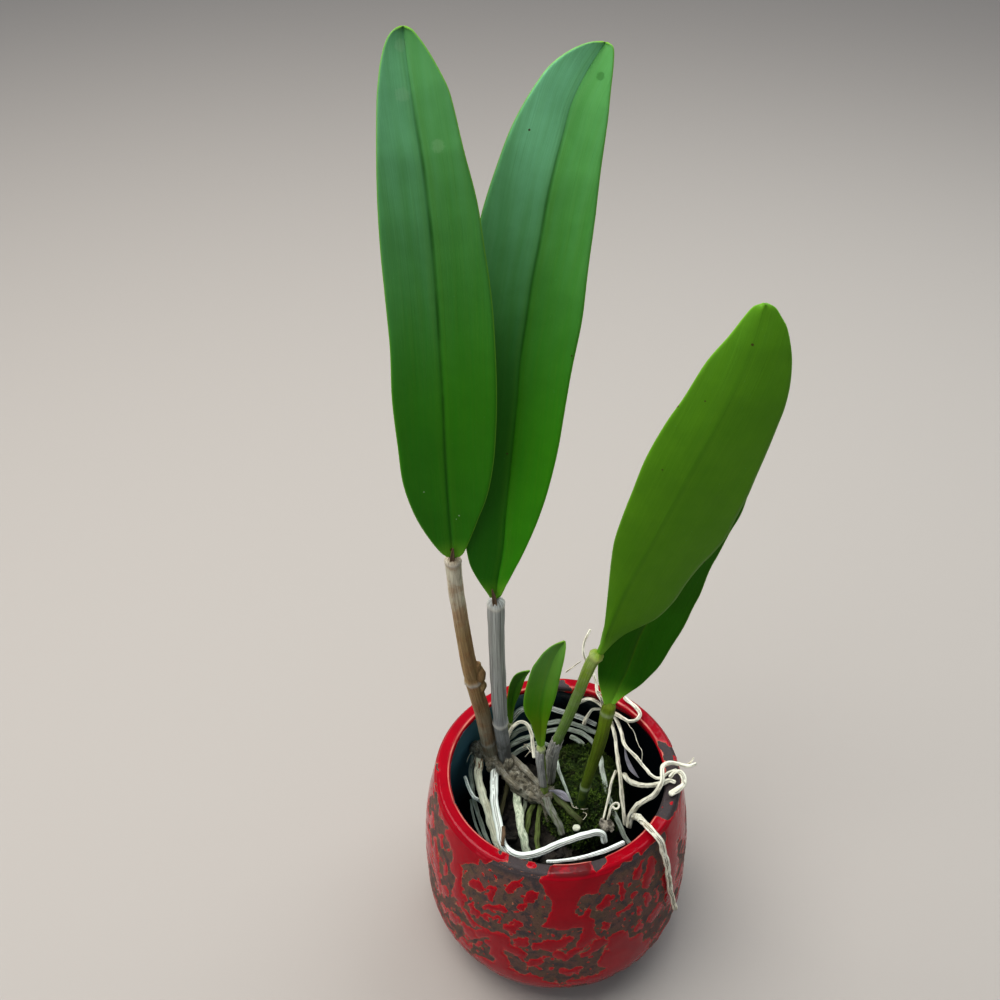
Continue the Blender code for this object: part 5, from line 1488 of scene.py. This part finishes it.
def make_mix(look):
    """The potting mix with bark over its top and sides, and the loose chip of bark."""
    chip = [chunk_shape(seen_at_height(*place), size, turn, seed) for place, size, turn, seed in CHIP]
    # The mix's bark is near black: dark bark made darker as painted shade of the hollows round the roots.
    for name, node, shapes, tint in (("bark", "potting_mix", [mix_body()] + scattered_bark(look.chips),
                                      look.bark), ("chip", "bark_chip", chip, look.chip)):
        made = bark_material(name, tint, look.bark_light, look.bark_dust)
        skin_piece("bark_mix" if name == "bark" else "loose_bark", shapes, made, "bark", [node],
                   smooth=False)


def make_pebble(look):
    """The small white pebble on the moss."""
    lump = lump_shape(seen_at_height(576.5, 828, 86.6), (2.2, 2.0, 1.8), 0.1, 1.6, 4)
    made, net, shader = new_material("pebble", roughness=0.7)
    shaded = tuple(c * 0.7 for c in look.pebble)
    net.coat(shader, net.mix(net.patches(1.6, softness=0.2), look.pebble, shaded),
             net.grain(2.0, 4.0), 0.2)
    skin_piece("white_pebble", [lump], made, "pebble", ["pebble"])


SHEATHS = {
    "sheath_3": dict(stem="stem_3", start=0.03, end=0.36, wrap=290, turn=-10, plies=3),
    "sheath_5": dict(stem="stem_5", start=0.22, end=0.98, wrap=215, turn=-72, plies=2),
}

# Dry scraps as a middle line of (across, down, height) and a width.
SCRAPS = {
    "bract_front": ([(549, 791, 97), (556, 792, 96.2), (563, 795, 95.2), (567, 799, 94.2),
        (570, 801.5, 93.6)], 4.2),
    "bract_right": ([(624.5, 746, 108.4), (627, 759, 105), (633, 771, 102.5), (639, 778, 101)], 2.6),
    "spathe_1": ([(452, 562, 248.1), (452.5, 555, 253), (453, 548, 257.9)], 2.4),
    "spathe_2": ([(495, 606, 215.6), (494, 597, 221.5), (492, 589, 226.8)], 2.6),
}


def sheet_skin(grid):
    """Turns and lengths for a papery sheet's streaks."""
    columns = grid.shape[1]
    along = distances(grid[:, columns // 2])[:, None]
    turns = np.linspace(0, math.pi, columns)[None]
    skin = np.stack(np.broadcast_arrays(np.cos(turns), np.sin(turns), along), axis=-1).reshape(-1, 3)
    return np.vstack((skin, skin))


def sheath_ply(wrap, ply, line, radii):
    """One layer of a sheath, wrapped round its stem and torn along its top."""
    columns, rows = 30, 26
    turns = np.radians(wrap["turn"] + (wrap["wrap"] - 40 * ply) * (np.linspace(0, 1, columns) - 0.5))
    forward = np.array((0.0, -1.0, 0.0))
    grid = np.empty((rows, columns, 3))
    for k, turn in enumerate(turns):
        torn = 0.12 * noise.noise(Vector((turn * 2.2, ply * 3.1, 0.5)))
        end = wrap["end"] * (1 - 0.14 * ply) + 0.5 * torn * wrap["end"] + 0.008 * math.sin(turn * 9 + ply)
        amounts = np.linspace(wrap["start"], min(end, 1.0), rows)
        here = curve_through(line, amounts)
        tangent = unit(curve_through(line, np.minimum(amounts + 0.02, 1.0)) - curve_through(line,
                                                                                            amounts - 0.01))
        front = unit(forward - tangent * (tangent @ forward)[:, None])
        aside = np.cross(tangent, front)
        flare = 1.03 + 0.07 * ply + 0.08 * np.linspace(0, 1, rows) ** 3
        reach = evenly(radii, amounts) * flare + 0.35
        grid[:, k] = here + (front * math.cos(turn) + aside * math.sin(turn)) * reach[:, None]
    crumple = rough_at(grid, 2.6, ply + 60) * 0.32
    grid = grid + (grid - grid.mean(axis=1, keepdims=True)) / 4.0 * crumple[..., None]
    return (*sheet_shape(grid, np.full((rows, columns), 0.12)), sheet_skin(grid))


def scrap_shape(places, width, bract):
    """A curled scrap along its middle line. A bract is widest past its middle and a spathe at its foot."""
    amounts = steps(24)
    line = curve_through(route_seen(places), amounts)
    tangents = frames_along(line)[2]
    across = unit(VIEW_RIGHT - tangents * (tangents @ VIEW_RIGHT)[:, None])
    if bract:
        taper = 0.25 + 0.85 * np.sin(math.pi * amounts**1.5) - 0.2 * amounts
    else:
        taper = (1 - 0.72 * amounts**1.6) * (0.72 + 0.28 * np.sin(math.pi * amounts))
    lift = np.cross(across, tangents)[:, None]
    asides = np.linspace(-1, 1, 11)[None, :, None]
    taper = taper[:, None, None]
    grid = (line[:, None] + across[:, None] * (asides * width / 2 * taper)
            + lift * (asides**2 * width * 0.26 * taper))
    grid = grid + lift * (rough_at(grid, 2.0, 71) * 0.22)[..., None]
    return (*sheet_shape(grid, np.full(grid.shape[:2], 0.14)), sheet_skin(grid))


def make_papers(colours):
    """The dry papery sheaths round two stem feet, the bracts and the dry scraps under two leaves."""
    plant = colours.plant
    paper, lavender, brown = [colours.paper_material("dry " + name, tint, plant.paper_dark) for name, tint in
                              (("sheath", plant.paper), ("bract", plant.bract), ("spathe", plant.spathe))]
    for name, wrap in SHEATHS.items():
        line, radii = stem_line(wrap["stem"])
        plies = [sheath_ply(wrap, ply, line, radii) for ply in range(wrap["plies"])]
        skin_piece(name + "_paper", plies, paper, "dry_sheath", [name])
    for name, (places, width) in SCRAPS.items():
        bract = name.startswith("bract")
        scrap = scrap_shape(places, width, bract)
        skin_piece(name + "_paper", [scrap], lavender if bract else brown, "dry_sheath", [name])


def colour(name, description, default):
    return bpy.props.FloatVectorProperty(name=name, description=description, subtype="COLOR", size=3, min=0.0,
                                         max=1.0, default=default)


def number(name, description, default, low, high, **kind):
    return bpy.props.FloatProperty(name=name, description=description, default=default, min=low, max=high,
                                   **kind)


def count(name, description, default, low, high):
    return bpy.props.IntProperty(name=name, description=description, default=default, min=low, max=high)


class PotSettings(bpy.types.PropertyGroup):
    """The pot's glazes and how finely it is turned."""

    red: colour("Red", "The red glaze where it is thick", (0.31, 0.0010, 0.010))
    deep_red: colour("Deep red", "The red glaze where it is thickest", (0.24, 0.0007, 0.009))
    bright_red: colour("Bright red", "The red glaze close to its edge", (0.38, 0.004, 0.011))
    border: colour("Border", "The pale line where the red glaze ends", (0.44, 0.22, 0.12))
    # Worn edge: worn glaze together with a painted highlight along the rim's inner edge.
    worn_and_highlight: colour("Worn edge", "The glaze where it thins over the rim's inner edge", (0.66, 0.24, 0.18))
    brown: colour("Brown", "The dark matt glaze", (0.148, 0.074, 0.060))
    olive: colour("Olive", "The dark glaze's second tone", (0.125, 0.077, 0.050))
    umber: colour("Umber", "The dark glaze's darkest tone", (0.034, 0.019, 0.017))
    ochre: colour("Ochre", "The specks on the dark glaze", (0.24, 0.12, 0.06))
    slate: colour("Slate", "The dark glaze's greyer tone, as on the rim", (0.058, 0.047, 0.048))
    # Painted sheen: the light the left inner wall catches, painted navy.
    painted_navy_sheen: colour("Navy", "The black glaze inside where it catches the light", (0.13, 0.29, 0.35))
    black: colour("Black", "The gloss black glaze inside", (0.006, 0.010, 0.014))
    glaze_step: number("Glaze step", "How far the red glaze stands proud", 0.00045, 0.0, 0.0015,
                       unit="LENGTH", precision=5)
    columns: count("Columns", "How many columns the pot is turned in", 440, 60, 480)


class PlantSettings(bpy.types.PropertyGroup):
    """The colours of leaves, stems and dry papers."""

    upper: colour("Leaf above", "The leaves' upper part", (0.049, 0.20, 0.016))
    lower: colour("Leaf below", "The leaves' lower part", (0.034, 0.205, 0.0008))
    # The bloom colour: a real waxy bloom together with painted sheen of reflected sky.
    bloom_sheen: colour("Bloom", "The grey-green bloom on the leaves", (0.165, 0.40, 0.22))
    leaf_dark: colour("Leaf dark", "The leaves' darkest green", (0.006, 0.060, 0.0010))
    fresh: colour("Leaf fresh", "The leaves' yellow-green", (0.09, 0.21, 0.008))
    under: colour("Leaf underside", "The undersides of the leaves", (0.066, 0.175, 0.005))
    edge: colour("Leaf edge", "The leaves' thin pale edge", (0.17, 0.36, 0.03))
    pale: colour("Pale mark", "Pale marks and scratches on the leaves", (0.35, 0.45, 0.3))
    brown_mark: colour("Brown mark", "Dry spots on the leaves", (0.06, 0.035, 0.012))
    tan: colour("Tan", "The oldest stem", (0.37, 0.26, 0.12))
    silver: colour("Silver", "The second stem", (0.50, 0.51, 0.46))
    stem_green: colour("Stem green", "The green stems", (0.20, 0.33, 0.07))
    stem_yellow: colour("Stem yellow-green", "The youngest stems", (0.26, 0.38, 0.03))
    bark_brown: colour("Bark brown", "The brown of old stems and rhizome", (0.16, 0.09, 0.045))
    rhizome: colour("Rhizome", "The rhizome's grey-brown", (0.36, 0.325, 0.235))
    crack: colour("Crack", "The dark cracks of the rhizome", (0.045, 0.034, 0.022))
    paper: colour("Paper", "Dry sheaths", (0.60, 0.58, 0.52))
    paper_dark: colour("Dark paper", "The dark fibres of dry sheaths", (0.10, 0.085, 0.075))
    bract: colour("Bract", "The lavender-grey bracts", (0.42, 0.405, 0.455))
    spathe: colour("Spathe", "The brown scraps under two leaves", (0.2, 0.12, 0.06))
    leaf_gloss: number("Leaf roughness", "How rough the leaves' skin is", 0.36, 0.05, 1.0)


class RootSettings(bpy.types.PropertyGroup):
    """The colours of the roots."""

    white: colour("White", "Chalk-white roots", (0.84, 0.88, 0.80))
    chalk: colour("Chalk", "The greyer parts of white roots", (0.58, 0.64, 0.60))
    cream: colour("Cream", "Cream roots", (0.78, 0.76, 0.63))
    parched: colour("Parched", "The drier parts of cream roots", (0.46, 0.40, 0.27))
    tan: colour("Tan", "The stout root on the left", (0.74, 0.75, 0.58))
    mottled: colour("Mottled", "The pale parts of mottled roots", (0.62, 0.66, 0.50))
    lichen: colour("Lichen", "The grey-green parts of mottled roots", (0.24, 0.30, 0.20))
    dim: colour("Dim", "The deeper grey roots", (0.42, 0.46, 0.40))
    green: colour("Green", "Green roots", (0.12, 0.165, 0.045))
    olive: colour("Olive", "Olive-brown roots", (0.075, 0.075, 0.032))
    groove: colour("Groove", "The grooves and stains in the roots' skin", (0.07, 0.055, 0.035))
    mossy: colour("Mossy", "Roots under the rhizome, stained by moss", (0.075, 0.10, 0.035))
    shaded: colour("Shaded", "The grey skin of mossy roots", (0.19, 0.19, 0.165))
    withered: colour("Withered", "The dead root stub", (0.16, 0.10, 0.06))


class BallSettings(bpy.types.PropertyGroup):
    """The moss and the potting mix."""

    moss: colour("Moss", "The moss shoots' tips", (0.15, 0.24, 0.03))
    # Moss dark: partly painted shade between the shoots.
    moss_dark: colour("Moss dark", "The moss between its shoots", (0.006, 0.018, 0.004))
    moss_brown: colour("Moss brown", "Dead moss", (0.035, 0.03, 0.014))
    # Bark: dark bark made near black as painted shade of the mix's hollows.
    bark: colour("Bark", "The mix's dark bark", (0.010, 0.008, 0.006))
    bark_light: colour("Bark light", "The mix's lighter bark", (0.030, 0.024, 0.016))
    bark_dust: colour("Bark dust", "Dust on the bark", (0.07, 0.06, 0.045))
    chip: colour("Chip", "The loose chip of bark", (0.40, 0.36, 0.29))
    pebble: colour("Pebble", "The white pebble", (0.74, 0.75, 0.58))
    shoots: count("Moss shoots", "How many shoots the moss has", 7200, 10, 9000)
    chips: count("Bark pieces", "How many broken pieces the mix shows", 260, 0, 600)


class StageSettings(bpy.types.PropertyGroup):
    """The floor and the light."""

    floor: colour("Floor", "The plain pale floor", (0.34, 0.31, 0.28))
    sky: colour("Sky", "The soft light from all round", (0.80, 0.88, 1.0))
    sky_strength: number("Sky strength", "How bright the surroundings are", 0.42, 0.0, 5.0)
    key_power: number("Key power", "The large soft light overhead", 38.0, 0.0, 500.0, unit="POWER")
    fill_power: number("Fill power", "The soft light at the front left", 7.0, 0.0, 500.0, unit="POWER")
    back_power: number("Back power", "The soft light behind on the right", 7.0, 0.0, 500.0, unit="POWER")
    key_height: number("Key height", "How high the large light hangs", 1.7, 0.5, 5.0, unit="LENGTH")


class Finishes:
    """Turns the plant's and roots' settings into materials."""

    def __init__(self, scene):
        self.plant = scene.orchid_plant
        self.root = scene.orchid_roots

    def leaf_finish(self, name):
        """The colours of one leaf. The third leaf turns its back to the viewpoint."""
        plant = self.plant
        shown_back = name == "leaf_3"
        tint = LEAF_LOOKS[name]["tint"]
        above, below = (plant.under, plant.upper) if shown_back else (plant.upper, plant.under)
        greens = {"upper": above, "lower": plant.under if shown_back else plant.lower, "under": below,
                  "fresh": plant.fresh, "dark": plant.leaf_dark}
        # Tint: each leaf's own colour together with painted light and shade, as the fourth leaf's shadow.
        greens = {key: tuple(a * b for a, b in zip(colour, tint)) for key, colour in greens.items()}
        # The gain brightens the bloom and its painted sheen.
        bloom_sheen_gain = tuple(c * LEAF_LOOKS[name]["bloom_sheen_gain"] for c in plant.bloom_sheen)
        return {**greens, "bloom_sheen": bloom_sheen_gain, "edge": plant.edge, "pale": plant.pale, "brown": plant.brown_mark,
                "gloss": plant.leaf_gloss - (0.1 if name == "leaf_4" else 0.0)}

    def stem_materials(self):
        plant = self.plant
        grey = tuple(0.24 * c for c in plant.silver)
        young = dict(base=plant.stem_yellow, stripes=(0.16, 0.2, 0.06), patches=(0.4, 0.42, 0.24), rough=0.5,
                     grain=0.1)
        looks = {
            "stem_1": dict(
                name="old tan stem", base=plant.tan, stripes=plant.bark_brown, patches=(0.36, 0.19, 0.08),
                around=4.0, length=26.0, stripe=0.5, patch=0.55, patch_size=9.0, low=plant.rhizome,
                top=(0.72, 0.68, 0.52)),
            "stem_2": dict(
                name="old silver stem", base=plant.silver, stripes=(0.16, 0.15, 0.135),
                patches=(0.52, 0.52, 0.50), around=6.0, length=50.0, stripe=0.65, patch=0.4, patch_size=10.0,
                low=grey, pale=(0.72, 0.68, 0.58)),
            "stem_3": dict(
                name="green stem", base=plant.stem_green, stripes=(0.10, 0.15, 0.03),
                patches=(0.34, 0.38, 0.24), rough=0.5, grain=0.12, length=45.0, stripe=0.5, patch=0.35,
                low=plant.rhizome, top=plant.stem_yellow, pale=(0.32, 0.36, 0.12)),
            "stem_4": dict(
                name="ribbed green stem", base=(0.088, 0.145, 0.004), stripes=(0.06, 0.065, 0.006),
                patches=(0.15, 0.20, 0.02), rough=0.5, grain=0.14, length=40.0, stripe=0.5, patch=0.4,
                low=(0.011, 0.046, 0.014), top=(0.16, 0.25, 0.008), pale=(0.36, 0.42, 0.28)),
            "stem_5": dict(name="young stem", **young),
            "stem_6": dict(name="youngest stem", **young),
        }
        return {key: bark_look(long=length_of(stem_line(key)[0]), **look) for key, look in looks.items()}

    def rhizome_material(self):
        return bark_look("rhizome bark", self.plant.rhizome, self.plant.crack, (0.62, 0.60, 0.50), rough=0.8,
                         grain=0.7, around=3.0, length=6.0, stripe=0.55, patch=0.55, patch_size=3.0)

    def root_materials(self):
        root = self.root
        looks = {
            "white": (root.white, root.chalk, 0.3, 12.0, 0.62, 0.0),
            "cream": (root.cream, root.parched, 0.45, 7.0, 0.6, 0.0),
            "tan": (root.tan, root.parched, 0.3, 6.0, 0.3, 1.0),
            "mottled": (root.mottled, root.lichen, 0.75, 3.0, 0.35, 0.0),
            "dim": (root.dim, root.lichen, 0.5, 6.0, 0.6, 0.0),
            "green": (root.green, root.olive, 0.6, 5.0, 0.4, 0.0),
            "olive": (root.olive, root.groove, 0.5, 4.0, 0.4, 0.0),
            "sheathed": (root.shaded, root.mossy, 0.75, 6.0, 0.5, 0.0),
            "parched": (root.cream, root.parched, 0.7, 6.0, 0.8, 0.3),
            "mossy": (root.mossy, root.olive, 0.7, 5.0, 0.4, 0.0),
            "withered": (root.withered, root.groove, 0.6, 3.0, 0.5, 0.0),
        }
        return {name: root_look(name, root.groove, *look, gaps=0.3 if name == "white" else 0.42)
                for name, look in looks.items()}

    def paper_material(self, name, base, dark):
        return bark_look(name, base, dark, tuple(min(1.0, 1.35 * c) for c in base), rough=0.8, grain=0.22,
                         around=7.0, length=26.0, stripe=0.65, patch=0.4, patch_size=4.0)


class ORCHID_OT_pot(bpy.types.Operator):
    """Turn the cover pot and glaze it"""

    bl_idname = "orchid.pot"
    bl_label = "Glazed pot"

    def execute(self, context):
        make_pot(context.scene.orchid_pot)
        return {"FINISHED"}


class ORCHID_OT_leaves(bpy.types.Operator):
    """Make the six leaves"""

    bl_idname = "orchid.leaves"
    bl_label = "Leaves"

    def execute(self, context):
        make_leaves(Finishes(context.scene))
        return {"FINISHED"}


class ORCHID_OT_stems(bpy.types.Operator):
    """Make the stems and the rhizome they grow from"""

    bl_idname = "orchid.stems"
    bl_label = "Stems and rhizome"

    def execute(self, context):
        finishes = Finishes(context.scene)
        make_stems(finishes)
        make_rhizome(finishes)
        return {"FINISHED"}


class ORCHID_OT_roots(bpy.types.Operator):
    """Make the roots"""

    bl_idname = "orchid.roots"
    bl_label = "Roots"

    def execute(self, context):
        make_roots(Finishes(context.scene))
        return {"FINISHED"}


class ORCHID_OT_papers(bpy.types.Operator):
    """Make the dry sheaths, bracts and scraps"""

    bl_idname = "orchid.papers"
    bl_label = "Dry papers"

    def execute(self, context):
        make_papers(Finishes(context.scene))
        return {"FINISHED"}


class ORCHID_OT_root_ball(bpy.types.Operator):
    """Make the potting mix, the moss and what lies on it"""

    bl_idname = "orchid.root_ball"
    bl_label = "Moss and potting mix"

    def execute(self, context):
        make_mix(context.scene.orchid_ball)
        make_pebble(context.scene.orchid_ball)
        make_moss(context.scene.orchid_ball)
        return {"FINISHED"}


def make_floor(look):
    """The plain pale floor."""
    mesh = bpy.data.meshes.new("floor")
    reach = 9.0
    mesh.from_pydata([(-reach, -reach, 0), (reach, -reach, 0), (reach, reach, 0), (-reach, reach, 0)], [],
                     [(0, 1, 2, 3)])
    made, net, shader = new_material("floor", roughness=0.9, specular_ior_level=0.2)
    net.put(shader["Base Color"], look.floor)
    mesh.materials.append(made)
    floor = bpy.data.objects.new("floor", mesh)
    bpy.context.scene.collection.objects.link(floor)


def add_light(name, power, size, place, target, tint):
    """A square soft light at a place, facing a target."""
    light = bpy.data.lights.new(name, "AREA")
    light.energy = power
    light.size = size
    light.color = tint
    lamp = bpy.data.objects.new(name, light)
    lamp.location = place
    lamp.rotation_euler = (Vector(target) - Vector(place)).to_track_quat("-Z", "Y").to_euler()
    bpy.context.scene.collection.objects.link(lamp)


class ORCHID_OT_stage(bpy.types.Operator):
    """Set up the floor, the soft light and the camera"""

    bl_idname = "orchid.stage"
    bl_label = "Floor, light and camera"

    def execute(self, context):
        scene = context.scene
        look = scene.orchid_stage
        make_floor(look)
        world = bpy.data.worlds.new("soft sky")
        world.use_nodes = True
        world.node_tree.nodes["Background"].inputs["Color"].default_value = (*look.sky, 1.0)
        world.node_tree.nodes["Background"].inputs["Strength"].default_value = look.sky_strength
        scene.world = world
        middle = (0.0, 0.0, 0.2)
        add_light("key", look.key_power, 1.5, (-0.55, 0.15, look.key_height), middle, (1.0, 0.985, 0.96))
        add_light("fill", look.fill_power, 1.2, (-1.3, -1.2, 0.9), middle, (0.92, 0.96, 1.0))
        add_light("back", look.back_power, 0.9, (0.55, 0.5, 1.1), (0.0, 0.0, 0.08), (0.88, 0.96, 1.0))
        camera = bpy.data.cameras.new("camera")
        camera.lens = 41.4
        camera.sensor_width = 36.0
        camera.clip_end = 30.0
        holder = bpy.data.objects.new("camera", camera)
        turned = Matrix((VIEW_RIGHT, VIEW_UP, -VIEW_AHEAD)).transposed().to_4x4()
        holder.matrix_world = Matrix.Translation(Vector(VIEW_FROM * MM)) @ turned
        scene.collection.objects.link(holder)
        scene.camera = holder
        scene.view_settings.view_transform = "Standard"
        scene.view_settings.look = "Medium High Contrast"
        return {"FINISHED"}


class ORCHID_PT_panel(bpy.types.Panel):
    """The steps that make the orchid, in order"""

    bl_idname = "ORCHID_PT_panel"
    bl_label = "Potted cattleya"
    bl_space_type = "VIEW_3D"
    bl_region_type = "UI"
    bl_category = "Orchid"

    def draw(self, context):
        for step in OPERATORS:
            self.layout.operator(step.bl_idname)
        for key in SETTINGS:
            box = self.layout.box()
            settings = getattr(context.scene, key)
            for name in settings.__annotations__:
                box.prop(settings, name)


SETTINGS = {"orchid_pot": PotSettings, "orchid_plant": PlantSettings, "orchid_roots": RootSettings,
            "orchid_ball": BallSettings, "orchid_stage": StageSettings}
OPERATORS = (ORCHID_OT_stage, ORCHID_OT_pot, ORCHID_OT_root_ball, ORCHID_OT_roots, ORCHID_OT_stems,
             ORCHID_OT_papers, ORCHID_OT_leaves)


def register():
    for made in (*SETTINGS.values(), *OPERATORS, ORCHID_PT_panel):
        bpy.utils.register_class(made)
    for key, made in SETTINGS.items():
        setattr(bpy.types.Scene, key, bpy.props.PointerProperty(type=made))


def unregister():
    for key in SETTINGS:
        delattr(bpy.types.Scene, key)
    for made in reversed((*SETTINGS.values(), *OPERATORS, ORCHID_PT_panel)):
        bpy.utils.unregister_class(made)


def main():
    register()
    bpy.ops.orchid.stage()
    bpy.ops.orchid.pot()
    bpy.ops.orchid.root_ball()
    bpy.ops.orchid.roots()
    bpy.ops.orchid.stems()
    bpy.ops.orchid.papers()
    bpy.ops.orchid.leaves()


if __name__ == "__main__":
    main()
